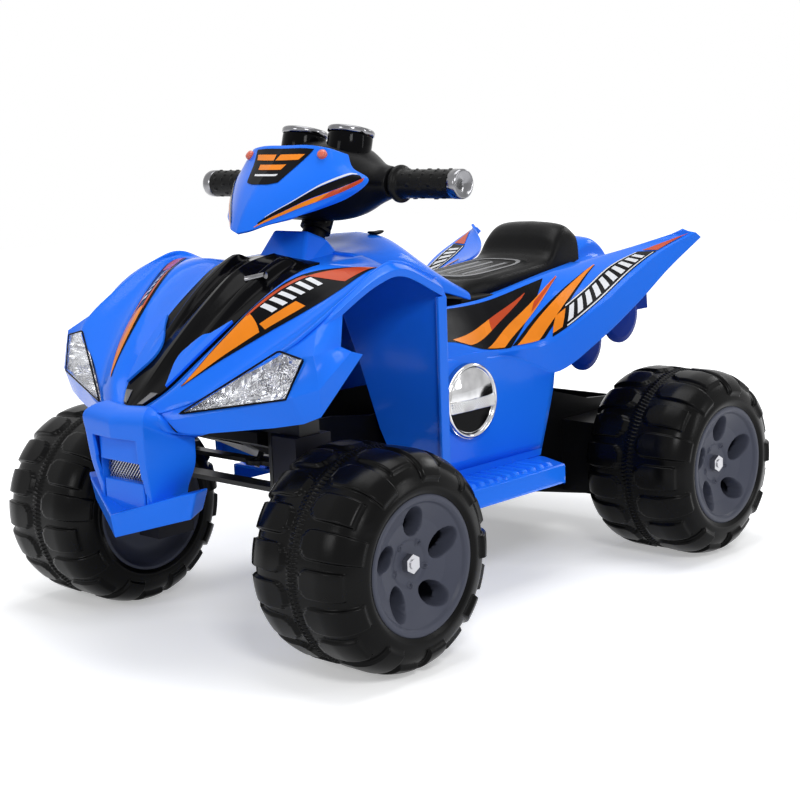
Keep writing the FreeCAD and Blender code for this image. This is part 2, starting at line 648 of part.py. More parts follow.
FENDER = (
    ((0, -154, 173), (0, -124, 195), (0, -79, 231), (0, -29, 270), (0, 21, 306), (0, 66, 331), (0, 116, 343),
     (0, 173, 347)),
    ((18, -148, 179), (40, -124, 199), (58, -79, 237), (70, -29, 273), (79, 21, 303), (86, 66, 325),
     (90, 116, 339), (88, 173, 347)),
    ((34, -151, 183), (66, -124, 211), (90, -79, 255), (106, -29, 297), (117, 22, 327), (118, 71, 342),
     (112, 121, 342), (122, 174, 333)),
    ((45, -151, 181), (85, -126, 198), (125, -81, 231), (160, -23, 271), (182, 36, 308), (194, 81, 331),
     (188, 121, 334), (180, 174, 322)),
    ((52, -151, 177), (92, -127, 192), (140, -101, 222), (200, -70, 259), (213, 9, 306), (210, 71, 336),
     (207, 114, 342), (214, 174, 317)),
)
ARCH_LIP = (
    ((198, -67, 256), (211, 10, 303), (208, 70, 333), (205, 113, 339), (212, 172, 314)),
    ((206, -60, 250), (222, 5, 296), (225, 61, 321), (226, 108, 326), (226, 174, 294)),
)
ARCH_WAY = Vector(0.8, 0, 0.6)
LAMP_FACE = (
    ((50.5, -149, 176), (90.5, -125, 191), (138.5, -99, 221), (198.5, -68, 258), (207, -27, 281), (215, 8, 303)),
    ((57, -147, 173), (96, -128, 185), (144, -104, 209), (207, -74, 243), (238, -67, 250), (235, -9, 258)),
    ((62, -146, 169), (100, -131, 176), (150, -111, 186), (222, -89, 203), (248, -69, 211), (256, -24, 247)),
    ((72, -137, 153), (112, -123, 155), (190, -91, 164), (226, -76, 170), (244, -65, 178), (262, -7, 250)),
)
LAMP = ((80, -137, 179), (192, -79, 247), (226, -75, 242), (215, -89, 206))
LAMP_WAY = Vector(0.26, -0.90, 0.36)
LAMP_SKIN_WAY = Vector(0.42, -0.70, 0.58)
TANK = (
    ((0, 160, 345), (0, 200, 350), (0, 250, 362), (0, 300, 346), (0, 345, 316), (0, 376, 290)),
    ((50, 160, 343), (50, 200, 349), (50, 250, 356), (50, 300, 330), (50, 345, 300), (50, 376, 284)),
    ((86, 160, 338), (88, 200, 337), (90, 250, 331), (92, 300, 306), (92, 345, 284), (90, 376, 270)),
    ((92, 160, 300), (98, 200, 296), (99, 250, 290), (99, 300, 280), (99, 345, 268), (97, 376, 258)),
)
COLLAR = (((42, 106, 330), (32, 126, 374)), ((32, 160, 356), (42, 172, 335)))
FLAP_FROM = 174
FLAP_THICK = 6
FLAP = ((90, 344), (122, 330), (180, 319), (213, 314), (226, 290), (223, 37), (144, 37), (144, 190), (90, 200))


def front_row(points):
    return [at_front(*p) for p in points]


def middle_row(points):
    """Points whose distance from the middle doesn't follow the track width."""
    return [at_middle(*p) for p in points]


def lamp_patch(lift, share=1.0):
    """The headlight's four corners, lifted off the body and drawn in towards their middle."""
    corners = [at_front(*p) for p in LAMP]
    middle = sum(corners[1:], corners[0]) * (1 / len(corners))
    return [middle + (c - middle) * share + LAMP_WAY * lift for c in corners]


def lamp_block(low, high, low_share=1.0, high_share=1.0):
    """A closed block between two lifted copies of the headlight's outline."""
    points = lamp_patch(low, low_share) + lamp_patch(high, high_share)
    corners = [(0, 2, 1), (0, 3, 2), (4, 5, 6), (4, 6, 7)]
    for i in range(4):
        j = (i + 1) % 4
        corners += [(i, j, i + 4), (j, j + 4, i + 4)]
    return solid_of(points, corners)


fender = skin([smooth(row, 2) for row in mirrored([front_row(r) for r in FENDER])], WALL, up)
lamp_skin = skin([front_row(r) for r in LAMP_FACE], WALL, lambda p: LAMP_SKIN_WAY, straight=True)
lamp_skin = lamp_skin.cut(lamp_block(-40, 40))
arch_lip = skin([smooth(front_row(r), 2) for r in ARCH_LIP], WALL, lambda p: ARCH_WAY, straight=True)
tank = skin([smooth(row, 2) for row in mirrored([middle_row(r) for r in TANK])], WALL, up)
collar_low = [at_middle(s * x, y, z) for (x, y, z), s in ((COLLAR[0][0], -1), (COLLAR[0][0], 1),
                                                        (COLLAR[1][1], 1), (COLLAR[1][1], -1))]
collar_high = [at_middle(s * x, y, z) for (x, y, z), s in ((COLLAR[0][1], -1), (COLLAR[0][1], 1),
                                                         (COLLAR[1][0], 1), (COLLAR[1][0], -1))]
collar = solid_of(collar_low + collar_high,
                  [(0, 2, 1), (0, 3, 2), (4, 5, 6), (4, 6, 7), (0, 1, 4), (1, 5, 4), (1, 2, 5), (2, 6, 5),
                   (2, 3, 6), (3, 7, 6), (3, 0, 7), (0, 4, 7)])
flap = plate([at_front(x, FLAP_FROM, z) for x, z in FLAP], Vector(0, FLAP_THICK, 0))
flange = Part.makeBox(5, 14, 250, at_front(221, FLAP_FROM - 10, 40))
STAND = ((190, 127), (190, 334), (250, 328), (300, 302), (340, 281), (340, 127))
STAND_X = size("tub_half") - size("tub_wall")
stand = plate([Vector(STAND_X, FRONT + y, AXLE + z) for y, z in STAND], Vector(WALL, 0, 0))
pillar = Part.makeBox(20, 24, 128, Vector(36, FRONT - 12, CROSS_LOW + CROSS_THICK))
BUSH_R = COLUMN_R + 9
bush_hole = Part.makeCylinder(BUSH_R, 90, DASH - LEAN * 60, LEAN)
halves = [arch_lip, lamp_skin, flap, flange, stand, pillar]
shape = fender.multiFuse([tank, collar] + halves + [flip(h) for h in halves]).cut(bush_hole)
free_shape("front_body", shape)

bush = Part.makeCylinder(BUSH_R, 34, DASH - LEAN * 34, LEAN)
bush = bush.fuse(Part.makeCylinder(BUSH_R + 5, 4, DASH, LEAN))
free_shape("column_bush", bush.cut(Part.makeCylinder(COLUMN_R + size("bearing_gap"), 90, DASH - LEAN * 45, LEAN)))

HOOD_CROWN = 11
HOOD_EDGE = 4
HOOD_GAP = 0.9
HOOD_POINTS = 12
hood_rows = []
for share, rise in ((0.0, HOOD_CROWN), (0.5, HOOD_CROWN - 1), (0.93, HOOD_EDGE)):
    row = []
    for middle, valley in zip(FENDER[0], FENDER[1]):
        row.append(at_front(*[m + (v - m) * share for m, v in zip(middle, valley)]) + Vector(0, 0, rise))
    hood_rows.append(row)
free_shape("hood_insert", skin([smooth(r, 2)[:HOOD_POINTS] for r in mirrored(hood_rows)],
                               HOOD_EDGE - HOOD_GAP, up))

for side, name in SIDES:
    lens = lamp_block(-2, 1.5, 0.995, 0.995)
    bowl = lamp_block(-34, -2.5, 0.6, 0.93).cut(lamp_block(-31, -2.4, 0.55, 0.88))
    free_shape("headlight_lens_" + name, lens if side > 0 else flip(lens))
    free_shape("headlight_reflector_" + name, bowl if side > 0 else flip(bowl))

# Front mask: a narrow face with a grille window, and a lip that drops to a point in the middle.

MASK = (
    ((0, -158, 184), (0, -176, 178), (0, -185, 168), (0, -184, 150), (0, -180, 112), (0, -172, 80), (0, -168, 57)),
    ((40, -157, 186), (52, -171, 181), (59, -180, 171), (57, -179, 150), (54, -175, 112), (50, -168, 80),
     (49, -164, 58)),
    ((50, -157, 181), (60, -159, 172), (62, -150, 156), (72, -114, 143), (71, -114, 112), (57, -116, 80),
     (54, -114, 58)),
)
LIP_EDGE = ((0, -182, 28), (98, -145, 52), (115, -144, 88), (60, -166, 74), (0, -187, 55))
LIP_BACK = ((0, -150, 40), (90, -122, 58), (102, -120, 88), (48, -140, 74), (0, -150, 58))
WINDOW_HALF = 42
WINDOW = (66, 146)
BARS = ((57, 118, 148), (49, 58, 91))
BAR_FROM = -168
BAR_DEEP = 12
face = skin([smooth(row, 2) for row in mirrored([front_row(r) for r in MASK])], WALL,
            lambda p: Vector(p.x, -60, 0))
window = Part.makeBox(2 * WINDOW_HALF, 60, WINDOW[1] - WINDOW[0], at_front(0, -190, WINDOW[0])
                      - Vector(WINDOW_HALF, 0, 0))
lip_points = [at_front(*p) for p in LIP_EDGE + LIP_BACK]
lip_count = len(LIP_EDGE)
lip_corners = [(0, 1, 4), (1, 3, 4), (1, 2, 3), (5, 9, 6), (6, 9, 8), (6, 8, 7)]
for i in range(lip_count):
    j = (i + 1) % lip_count
    lip_corners += [(i, i + lip_count, j), (j, i + lip_count, j + lip_count)]
lip = solid_of(lip_points, lip_corners)
bars = [Part.makeBox(2 * half, BAR_DEEP, high - low, at_front(0, BAR_FROM, low) - Vector(half, 0, 0))
        for half, low, high in BARS]
arm = Part.makeBox(10, 91, 14, at_front(62, -120, 123))
mask = face.cut(window).multiFuse([lip, flip(lip), arm, flip(arm)] + bars)
free_shape("front_mask", mask)

MESH_GAP = 0.2
MESH_LAP = 3
MESH_HALF = WINDOW_HALF + 5
MESH_LOW = BARS[1][2] - MESH_LAP
MESH_FROM = BAR_FROM + BAR_DEEP + MESH_GAP
mesh_plate = Part.makeBox(2 * MESH_HALF, 2, BARS[0][1] + MESH_LAP - MESH_LOW, at_front(0, MESH_FROM, MESH_LOW)
                          - Vector(MESH_HALF, 0, 0))
MESH_PITCH = 9
MESH_ROWS = (99, 110)
holes = []
for i in range(-4, 5):
    for z in MESH_ROWS:
        centre = at_front(0, MESH_FROM - 1, z) + Vector(i * MESH_PITCH, 0, 0)
        holes.append(plate([centre + Vector(3.4, 0, 0), centre + Vector(0, 0, 4.4), centre - Vector(3.4, 0, 0),
                            centre - Vector(0, 0, 4.4)], Vector(0, 5, 0)))
free_shape("grille_mesh", mesh_plate.cut(Part.makeCompound(holes)))

# Rear body: side panels that stand on the footrests, wings, a deck under the seat and a tail.

WING = (
    ((106, -470, 260), (106, -373, 257), (104, -299, 257), (103, -243, 261), (103, -175, 272), (103, -106, 281),
     (110, -30, 292), (150, 34, 308), (210, 80, 330)),
    ((139, -470, 214), (139, -373, 211), (139, -299, 190), (146, -243, 186), (160, -175, 193), (190, -106, 236),
     (205, -27, 281), (209, 34, 306), (219, 100, 325)),
    ((140, -470, 193), (140, -373, 191), (140, -299, 184), (143, -243, 178), (160, -175, 146), (190, -106, 186),
     (206, -27, 236), (213, 37, 277), (220, 112, 317)),
)
PANEL = ((-470, 25), (-186, 25), (-152, 127), (-165, 165), (-243, 190), (-470, 200))
PANEL_X = 136
DECK = ((-299, 248), (-243, 254), (-175, 264), (-106, 275), (-20, 287))
DECK_HALF = 105
TAIL = (
    ((0, -30, 286), (0, 4, 312), (0, 32, 321), (0, 56, 316), (0, 74, 298), (0, 86, 256)),
    ((50, -30, 286), (50, 4, 311), (50, 32, 320), (50, 56, 315), (50, 74, 297), (50, 86, 255)),
    ((68, -30, 284), (68, 4, 304), (68, 32, 312), (68, 56, 307), (68, 73, 290), (68, 85, 252)),
    ((78, -30, 276), (78, 0, 286), (78, 32, 290), (78, 60, 286), (78, 80, 276), (78, 92, 248)),
    ((122, -30, 260), (122, 0, 270), (122, 40, 276), (122, 80, 272), (118, 100, 262), (114, 112, 240)),
)
LOBES = ((-46, 170, 42), (46, 202, 44))
LOBE_X = 114
SKIRT = ((-100, 270), (-88, 170), (28, 204), (116, 204), (112, 262), (60, 280))
COVER_SPOT = (144, -344, 130)
COVER_EDGE = "sizes.cover_diameter / 2"


def rear_row(points):
    return [at_rear(*p) for p in points]


wing = skin([smooth(rear_row(r), 2) for r in WING], WALL, from_middle)
panel = plate([Vector(PANEL_X, REAR + y, AXLE + z) for y, z in PANEL], Vector(WALL, 0, 0))
deck = skin([[Vector(x, REAR + y, AXLE + z) for y, z in DECK] for x in (-DECK_HALF, 0, DECK_HALF)], WALL, up)
tail = skin([smooth(row, 2) for row in mirrored([rear_row(r) for r in TAIL])], WALL, up)
skirt = plate([Vector(LOBE_X, REAR + y, AXLE + z) for y, z in SKIRT], Vector(WALL, 0, 0))
lobes = [Part.makeCylinder(radius, WALL, Vector(LOBE_X, REAR + y, AXLE + z), Vector(1, 0, 0))
         for y, z, radius in LOBES]
skirt = skirt.multiFuse(lobes)
SOCKET = (PANEL_X + WALL, -236, 132)
SOCKET_R = 9
socket_hole = Part.makeCylinder(SOCKET_R, 20, at_rear(-SOCKET[0] - 8, SOCKET[1], SOCKET[2]), Vector(1, 0, 0))
halves = [wing, panel, skirt]
shape = deck.multiFuse([tail] + halves + [flip(h) for h in halves]).cut(socket_hole)
free_shape("rear_body", shape)

SOCKET_DEEP = 18
socket = new_body("charge_socket", -SOCKET[0], R % SOCKET[1], "sizes.axle_height + %g" % SOCKET[2])
SOCKET_IN = "sizes.socket_bore / 2"
turn(socket, [(-3, SOCKET_IN), (SOCKET_DEEP, SOCKET_IN), (SOCKET_DEEP, SOCKET_R - 0.2), (0, SOCKET_R - 0.2),
              (0, SOCKET_R + 3), (-3, SOCKET_R + 3)])

# Engine covers: stepped chrome rounds on the side panels.

for side, name in SIDES:
    cover = new_body("engine_cover_" + name)
    cover.Placement = Placement(Vector(), Rotation(Vector(0, 0, 1), 0 if side > 0 else 180))
    place(cover, side * (PANEL_X + WALL), R % COVER_SPOT[1], "sizes.axle_height + %g" % COVER_SPOT[2])
    turn(cover, [(0, COVER_EDGE + " - 3"), (0, COVER_EDGE), (8, COVER_EDGE), (12, COVER_EDGE + " - 6"),
                 (10, COVER_EDGE + " - 12"), (15, COVER_EDGE + " - 26"), (16, 0), (13, 0),
                 (12, COVER_EDGE + " - 27"), (7, COVER_EDGE + " - 14"), (8.5, COVER_EDGE + " - 9"),
                 (5, COVER_EDGE + " - 3")])

# Footrests: ribbed slabs along the tub.

RIB_COUNT = 13
RIB_STEP = 18
for side, name in SIDES:
    rest = new_body("footrest_" + name, "0", "0", "sizes.axle_height")
    inner = "%d * sizes.tub_half" % side
    reach = "%d * sizes.footrest_reach" % side
    corner = "%d * (sizes.footrest_reach - 65)" % side
    extrude(rest, "XY_Plane", 13, 12, [(inner, F % 182), (reach, F % 182), (reach, R % -214), (corner, R % -186),
                                       (inner, R % -186)])
    extrude(rest, "XY_Plane", -2, 16, [("%d * (sizes.footrest_reach - 5)" % side, F % 182), (reach, F % 182),
                                       (reach, R % -214), ("%d * (sizes.footrest_reach - 5)" % side, R % -214)])
    near = "%d * 147" % side
    far = "%d * (sizes.footrest_reach - 6)" % side
    for k in range(RIB_COUNT):
        start = F % (196 + k * RIB_STEP)
        end = F % (203 + k * RIB_STEP)
        extrude(rest, "XY_Plane", 24, 4.5, [(near, start), (far, start), (far, end), (near, end)])

# Accelerator pedal on the right footrest, hinged at its rear edge on two ears of the footrest.

PEDAL_X = -176
PEDAL_WIDE = 36
PEDAL_Y = 290
PEDAL_UP = 36
EAR = 5
STUD_R = 3
pedal = new_body("accelerator_pedal", PEDAL_X, F % PEDAL_Y, "sizes.axle_height + %g" % PEDAL_UP)
extrude(pedal, "YZ_Plane", 0, PEDAL_WIDE, [(-3, -4), (4, -4), (4, 4), (-60, 25), (-64, 25), (-64, 20)], both=True)
extrude(pedal, "YZ_Plane", 0, PEDAL_WIDE + 2 * EAR, circle=(0, 0, STUD_R), both=True)
for step in (-1, 1):
    middle = PEDAL_X + step * (PEDAL_WIDE / 2 + EAR / 2 + 0.3)
    extrude(rest, "YZ_Plane", middle, EAR, [(F % (PEDAL_Y - 8), 24), (F % (PEDAL_Y + 8), 24),
                                            (F % (PEDAL_Y + 8), PEDAL_UP + 7), (F % (PEDAL_Y - 8), PEDAL_UP + 7)],
            both=True)
    extrude(rest, "YZ_Plane", middle, EAR + 2,
            circle=(F % PEDAL_Y, PEDAL_UP, "%g + sizes.bearing_gap" % STUD_R), cut=True, both=True)

# Seat: a moulded pad with a raised back.

HALF_SEAT = size("seat_width") / 2
SEAT_ROOF = ((-236, 282, 262), (-222, 287, 264), (-170, 290, 270), (-115, 294, 278), (-80, 298, 283),
             (-64, 308, 285), (-50, 330, 287), (-34, 344, 289), (-16, 347, 291), (0, 336, 293))


def seat_row(share, drop):
    """One line along the seat: share of the half width, drop below the crown."""
    return [Vector(HALF_SEAT * share, REAR + y, AXLE + (high - drop * (high - low))) for y, high, low in SEAT_ROOF]


seat_rows = [seat_row(0, 0.0), seat_row(0.55, 0.04), seat_row(0.85, 0.12), seat_row(0.97, 0.35), seat_row(1, 0.8)]
seat = skin([smooth(r, 2) for r in mirrored(seat_rows)], WALL, up)
SEAT_FEET = ((-205, 260.6, 24), (-90, 278.2, 16))
FOOT_WIDE = 12
FOOT_X = HALF_SEAT - 24
feet = [Part.makeBox(FOOT_WIDE, FOOT_WIDE, high, Vector(s * FOOT_X - FOOT_WIDE / 2, REAR + y - FOOT_WIDE / 2,
                                                        AXLE + low))
        for y, low, high in SEAT_FEET for s in (-1, 1)]
free_shape("seat", seat.multiFuse(feet))

# Handlebar: tube, moulded cover, cowl, grips, end caps, gauges, studs and horn button.

HALF_BAR = size("bar_width") / 2
CAP_LONG = 22
TUBE_WALL = 2
tube = rod("x", "-sizes.bar_width / 2 + 4", BAR_Y, BAR_Z, "sizes.bar_diameter / 2", "sizes.bar_width - 8")
tube_bore = rod("x", "-sizes.bar_width / 2 + 4", BAR_Y, BAR_Z, "sizes.bar_diameter / 2 - %g" % TUBE_WALL,
                "sizes.bar_width - 8")
node(without(tube, tube_bore), "handlebar_tube")

COVER = (
    ((0, 150, 400), (0, 128, 440), (0, 160, 478), (0, 206, 486), (0, 246, 470), (0, 250, 430), (0, 226, 398)),
    ((52, 156, 402), (50, 134, 440), (52, 164, 474), (52, 206, 481), (52, 240, 466), (52, 244, 430),
     (52, 222, 402)),
    ((92, 186, 410), (94, 172, 434), (94, 186, 452), (94, 206, 458), (94, 224, 450), (94, 226, 430),
     (94, 214, 412)),
    ((122, 190, 416), (122, 182, 430), (122, 189, 446), (122, 203, 452), (122, 218, 445), (122, 221, 430),
     (122, 212, 416)),
)


COVER_MIDDLE = 52
COVER_END = 122
COVER_GAP = 8
COVER_ARM = HALF_BAR - size("grip_length") - COVER_GAP - COVER_MIDDLE


def cover_x(x):
    """Beyond its middle the cover reaches to a gap before the grips."""
    if x <= COVER_MIDDLE:
        return x
    return COVER_MIDDLE + (x - COVER_MIDDLE) * COVER_ARM / (COVER_END - COVER_MIDDLE)


def cover_block(rows):
    """A closed form through rings of points across the bike."""
    rings = [[at_middle(cover_x(x), y, z) for x, y, z in ring] for ring in rows]
    rings = [[Vector(-p.x, p.y, p.z) for p in ring] for ring in rings[:0:-1]] + rings
    wide = len(rings[0])
    points = [p for ring in rings for p in ring]
    corners = []
    for i in range(len(rings) - 1):
        for j in range(wide):
            a, b = i * wide + j, i * wide + (j + 1) % wide
            corners += [(a, a + wide, b), (b, a + wide, b + wide)]
    last = (len(rings) - 1) * wide
    for j in range(1, wide - 1):
        corners += [(0, j, j + 1), (last, last + j + 1, last + j)]
    return solid_of(points, corners)


cover = cover_block(COVER)
cover = cover.cut(Part.makeCylinder(BAR_R, 2 * HALF_BAR, Vector(-HALF_BAR, BAR_Y, BAR_Z), Vector(1, 0, 0)))
cover = cover.cut(Part.makeCylinder(COLUMN_R, COLUMN_TOP + 30, DASH - LEAN * 30, LEAN))
HORN = (70, 236, 432)
HORN_R = 6
HORN_GAP = 0.3
HORN_SUNK = 10
horn_spot = at_middle(cover_x(HORN[0]), HORN[1] - HORN_SUNK, HORN[2])
cover = cover.cut(Part.makeCylinder(HORN_R + HORN_GAP, 3 * HORN_SUNK, horn_spot, Vector(0, 1, 0)))
free_shape("handlebar_cover", cover)

COWL = (
    ((0, 128, 481), (0, 104, 462), (0, 76, 436), (0, 52, 408), (0, 34, 377)),
    ((40, 130, 480), (40, 110, 462), (38, 84, 436), (30, 62, 410), (20, 42, 381)),
    ((76, 138, 474), (78, 124, 458), (74, 102, 435), (60, 80, 411), (40, 58, 388)),
    ((104, 158, 462), (110, 148, 450), (108, 130, 434), (92, 108, 414), (66, 78, 396)),
    ((112, 176, 456), (121, 170, 446), (118, 156, 432), (104, 134, 416), (80, 100, 402)),
)
COWL_WAY = (-150, 80)
cowl_rows = [[at_middle(cover_x(x), y, z) for x, y, z in row] for row in COWL]
cowl = skin([smooth(row, 2) for row in mirrored(cowl_rows)], WALL, lambda p: Vector(p.x, *COWL_WAY))
stays = [bar_between(at_middle(s * 50, 142, 445), at_middle(s * 50, 102, 446), 6) for s in (-1, 1)]
free_shape("handlebar_cowl", cowl.multiFuse(stays).cut(cover_block(COVER)))

STUD = (64, 133.5, 470)
STUD_WAY = Vector(0.15, -0.75, 0.64)
studs = []
for side in (-1, 1):
    spot = at_middle(side * cover_x(STUD[0]), STUD[1], STUD[2])
    way = Vector(side * STUD_WAY.x, STUD_WAY.y, STUD_WAY.z)
    studs.append(Part.makeCylinder(6.5, 7, spot, way).cut(cowl))
studs = Part.makeCompound([max(s.Solids, key=lambda piece: piece.CenterOfMass.z) for s in studs])
free_shape("cowl_studs", studs)

GAUGE_R = 30
GAUGE_HIGH = 34
gauge_way = Vector(0, 0.26, 0.966)
bezels = []
for side, name in SIDES:
    foot = at_middle(side * 44, 196, 462)
    pod = Part.makeCylinder(GAUGE_R, GAUGE_HIGH, foot, gauge_way).cut(cover_block(COVER))
    top = foot + gauge_way * GAUGE_HIGH
    free_shape("gauge_pod_" + name, max(pod.Solids, key=lambda piece: piece.CenterOfMass.z))
    ring = Part.makeCylinder(GAUGE_R + 1.5, 7, top, gauge_way)
    bezels.append(ring.cut(Part.makeCylinder(GAUGE_R - 4, 7, top + gauge_way * 2, gauge_way)))
free_shape("gauge_bezels", Part.makeCompound(bezels))

for side, name in SIDES:
    grip = new_body("grip_" + name)
    grip.Placement = Placement(Vector(), Rotation(Vector(0, 0, 1), 0 if side > 0 else 180))
    place(grip, "%d * (sizes.bar_width / 2 - sizes.grip_length)" % side, BAR_Y, BAR_Z)
    turn(grip, [(0, "sizes.bar_diameter / 2"), (0, "sizes.grip_diameter / 2 + 6"),
                (7, "sizes.grip_diameter / 2 + 6"), (9, "sizes.grip_diameter / 2"),
                ("sizes.grip_length - %g" % CAP_LONG, "sizes.grip_diameter / 2"),
                ("sizes.grip_length - %g" % CAP_LONG, "sizes.bar_diameter / 2")])
caps = []
for side, _ in SIDES:
    start = "sizes.bar_width / 2 - %g" % CAP_LONG if side > 0 else "-sizes.bar_width / 2"
    hollow = "sizes.bar_width / 2 - %g" % CAP_LONG if side > 0 else "-sizes.bar_width / 2 + 4"
    caps.append(without(rod("x", start, BAR_Y, BAR_Z, "sizes.grip_diameter / 2 + 0.5", CAP_LONG),
                        rod("x", hollow, BAR_Y, BAR_Z, "sizes.bar_diameter / 2", CAP_LONG - 4)))
group("grip_end_caps", *caps)

horn = new_body("horn_button", cover_x(HORN[0]), F % HORN[1], "sizes.axle_height + %g" % HORN[2])
extrude(horn, "XZ_Plane", 0, 15, circle=(0, 0, HORN_R), back=True)

# Forward and reverse rocker on the tank.

SWITCH = (38, 250, 363.3)
rocker = new_body("drive_switch", SWITCH[0], F % SWITCH[1], "sizes.axle_height + %g" % SWITCH[2])
extrude(rocker, "YZ_Plane", 0, 14, [(-13, 3), (0, -5), (13, 3), (13, 5), (0, 1), (-13, 5)], both=True)
extrude(rocker, "YZ_Plane", 0, 18, circle=(0, 0, 2), both=True)

doc.recompute()

for thing in doc.Objects:
    if "Invalid" in thing.State or "Error" in thing.State:
        raise RuntimeError("%s did not recompute" % thing.Label)
os.makedirs("parts", exist_ok=True)
for thing in NODES:
    if thing.Shape.isNull() or not thing.Shape.isValid():
        raise RuntimeError("%s has no valid shape" % thing.Label)
    thing.Shape.exportStep("parts/%s.step" % thing.Label)
    print("%-28s %2d solids %10.0f mm3" % (thing.Label, len(thing.Shape.Solids), thing.Shape.Volume))
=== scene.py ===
# %% [markdown]
# A child's quad bike, dressed around its fixed frame. The frame brings every rigid piece in place, in metres,
# with the ground at z = 0, the nose towards -Y and the rider's left hand towards +X. The moulded skins, the
# wheels and the trim are then built here as surfaces worked out from rows of points.

# %% Load the frame
import json
import math

import bpy
import numpy as np
from mathutils import Matrix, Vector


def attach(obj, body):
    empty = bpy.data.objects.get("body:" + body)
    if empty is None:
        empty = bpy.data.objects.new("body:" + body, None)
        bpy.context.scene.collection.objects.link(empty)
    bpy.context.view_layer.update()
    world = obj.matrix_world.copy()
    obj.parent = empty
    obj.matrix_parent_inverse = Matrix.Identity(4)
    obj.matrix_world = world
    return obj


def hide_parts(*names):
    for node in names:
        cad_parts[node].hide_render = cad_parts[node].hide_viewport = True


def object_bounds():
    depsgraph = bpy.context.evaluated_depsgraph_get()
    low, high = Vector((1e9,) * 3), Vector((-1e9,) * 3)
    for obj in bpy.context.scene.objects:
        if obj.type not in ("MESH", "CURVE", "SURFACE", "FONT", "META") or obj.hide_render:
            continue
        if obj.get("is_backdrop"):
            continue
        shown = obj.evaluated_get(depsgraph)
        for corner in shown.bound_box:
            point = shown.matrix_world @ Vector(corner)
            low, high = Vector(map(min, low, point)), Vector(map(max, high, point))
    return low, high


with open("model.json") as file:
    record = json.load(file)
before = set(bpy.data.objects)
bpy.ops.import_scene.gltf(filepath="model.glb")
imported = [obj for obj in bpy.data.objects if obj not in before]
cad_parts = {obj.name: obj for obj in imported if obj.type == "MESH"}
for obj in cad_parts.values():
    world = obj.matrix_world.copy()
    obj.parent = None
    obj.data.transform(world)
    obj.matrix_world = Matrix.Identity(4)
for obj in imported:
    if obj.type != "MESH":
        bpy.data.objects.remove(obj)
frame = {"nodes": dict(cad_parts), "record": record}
cad_box = [list(corner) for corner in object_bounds()]
NODES = frame["nodes"]
# Where the axles lie along the bike, their height, and a tyre's middle from the bike's middle.
FRONT, REAR, AXLE, HALF_TRACK = -0.301, 0.353, 0.135, 0.251

# %% [markdown]
# The bike is a set of thin blow-moulded and injection-moulded skins. A skin could be sculpted or subdivided from a
# box, but a body designer draws it as a few rows of points with smooth curves through them, and so does this file:
# the shape then hangs on a few numbers that can be read and changed. These helpers place points from an axle, run a
# smooth curve through them, and mirror the left half.

# %% Points and curves
def front(points):
    """Points given as x, distance behind the front axle and height above it, in millimetres."""
    return np.asarray(points, float) / 1000 + (0, FRONT, AXLE)


def rear(points):
    """Points given as x, distance behind the rear axle and height above it, in millimetres."""
    return np.asarray(points, float) / 1000 + (0, REAR, AXLE)


def curve(points, steps, axis=0):
    """A smooth curve through points along one axis: each span is a cubic whose end slopes come from the
    neighbouring points."""
    p = np.moveaxis(np.asarray(points, float), axis, 0)
    p = np.concatenate([2 * p[:1] - p[1:2], p, 2 * p[-1:] - p[-2:-1]])
    a, b, c, d = p[:-3], p[1:-2], p[2:-1], p[3:]
    t = (np.arange(steps) / steps).reshape((steps,) + (1,) * a.ndim)
    q = 0.5 * (2 * b + (c - a) * t + (2 * a - 5 * b + 4 * c - d) * t ** 2 + (3 * b - a - 3 * c + d) * t ** 3)
    q = np.swapaxes(q, 0, 1).reshape((-1,) + p.shape[1:])
    return np.moveaxis(np.concatenate([q, p[-2:-1]]), 0, axis)


def creased(points, steps, breaks, axis=0):
    """A curve that is smooth between the numbered points and has a corner at each of them."""
    p = np.moveaxis(np.asarray(points, float), axis, 0)
    ends = [0] + list(breaks) + [len(p) - 1]
    runs = [curve(p[i:j + 1], steps) for i, j in zip(ends[:-1], ends[1:])]
    return np.moveaxis(np.concatenate([r[:-1] for r in runs] + [runs[-1][-1:]]), 0, axis)


def mirrored(rows):
    """Rows from the middle outwards become rows from the right side to the left."""
    return np.concatenate([rows[:0:-1] * (-1, 1, 1), rows])


def ease(x, low, high):
    """Rises from 0 at low to 1 at high along an S curve: 3 t squared minus 2 t cubed."""
    t = np.clip((x - low) / (high - low), 0, 1)
    return t * t * (3 - 2 * t)


print("a curve through 3 points in 4 steps has", len(curve(np.eye(3), 4)), "points")

# %% [markdown]
# A grid of points becomes a mesh when each cell of it is a four-cornered face. The faces have to point outwards,
# so each grid names a point on its inner side. A piece is then a named object made of such grids. It rides on the
# body that carries it, says which solid of the frame it stands for, and may get a wall and small rounded edges
# from modifiers, which is simpler than working out a second surface.

# %% Grids into pieces
def normals(grid):
    """The unit direction square to a grid of points: the cross product of its two slopes."""
    across = np.gradient(grid, axis=0)
    along = np.gradient(grid, axis=1)
    n = np.cross(across, along)
    return n / np.maximum(np.linalg.norm(n, axis=2, keepdims=True), 1e-12)


def quads_of(grid, wrap=(False, False), away=None):
    """The four-cornered faces of a grid, turned so that they face away from a point."""
    rows, cols = grid.shape[:2]
    index = np.arange(rows * cols).reshape(rows, cols)
    index = np.vstack([index, index[:1]]) if wrap[0] else index
    index = np.hstack([index, index[:, :1]]) if wrap[1] else index
    quads = np.stack([index[:-1, :-1], index[1:, :-1], index[1:, 1:], index[:-1, 1:]], -1).reshape(-1, 4)
    if away is not None:
        p = grid.reshape(-1, 3)[quads]
        n = np.cross(p[:, 2] - p[:, 0], p[:, 3] - p[:, 1])
        if np.sum(n * (p.mean(1) - np.asarray(away, float))) < 0:
            quads = quads[:, ::-1]
    return quads


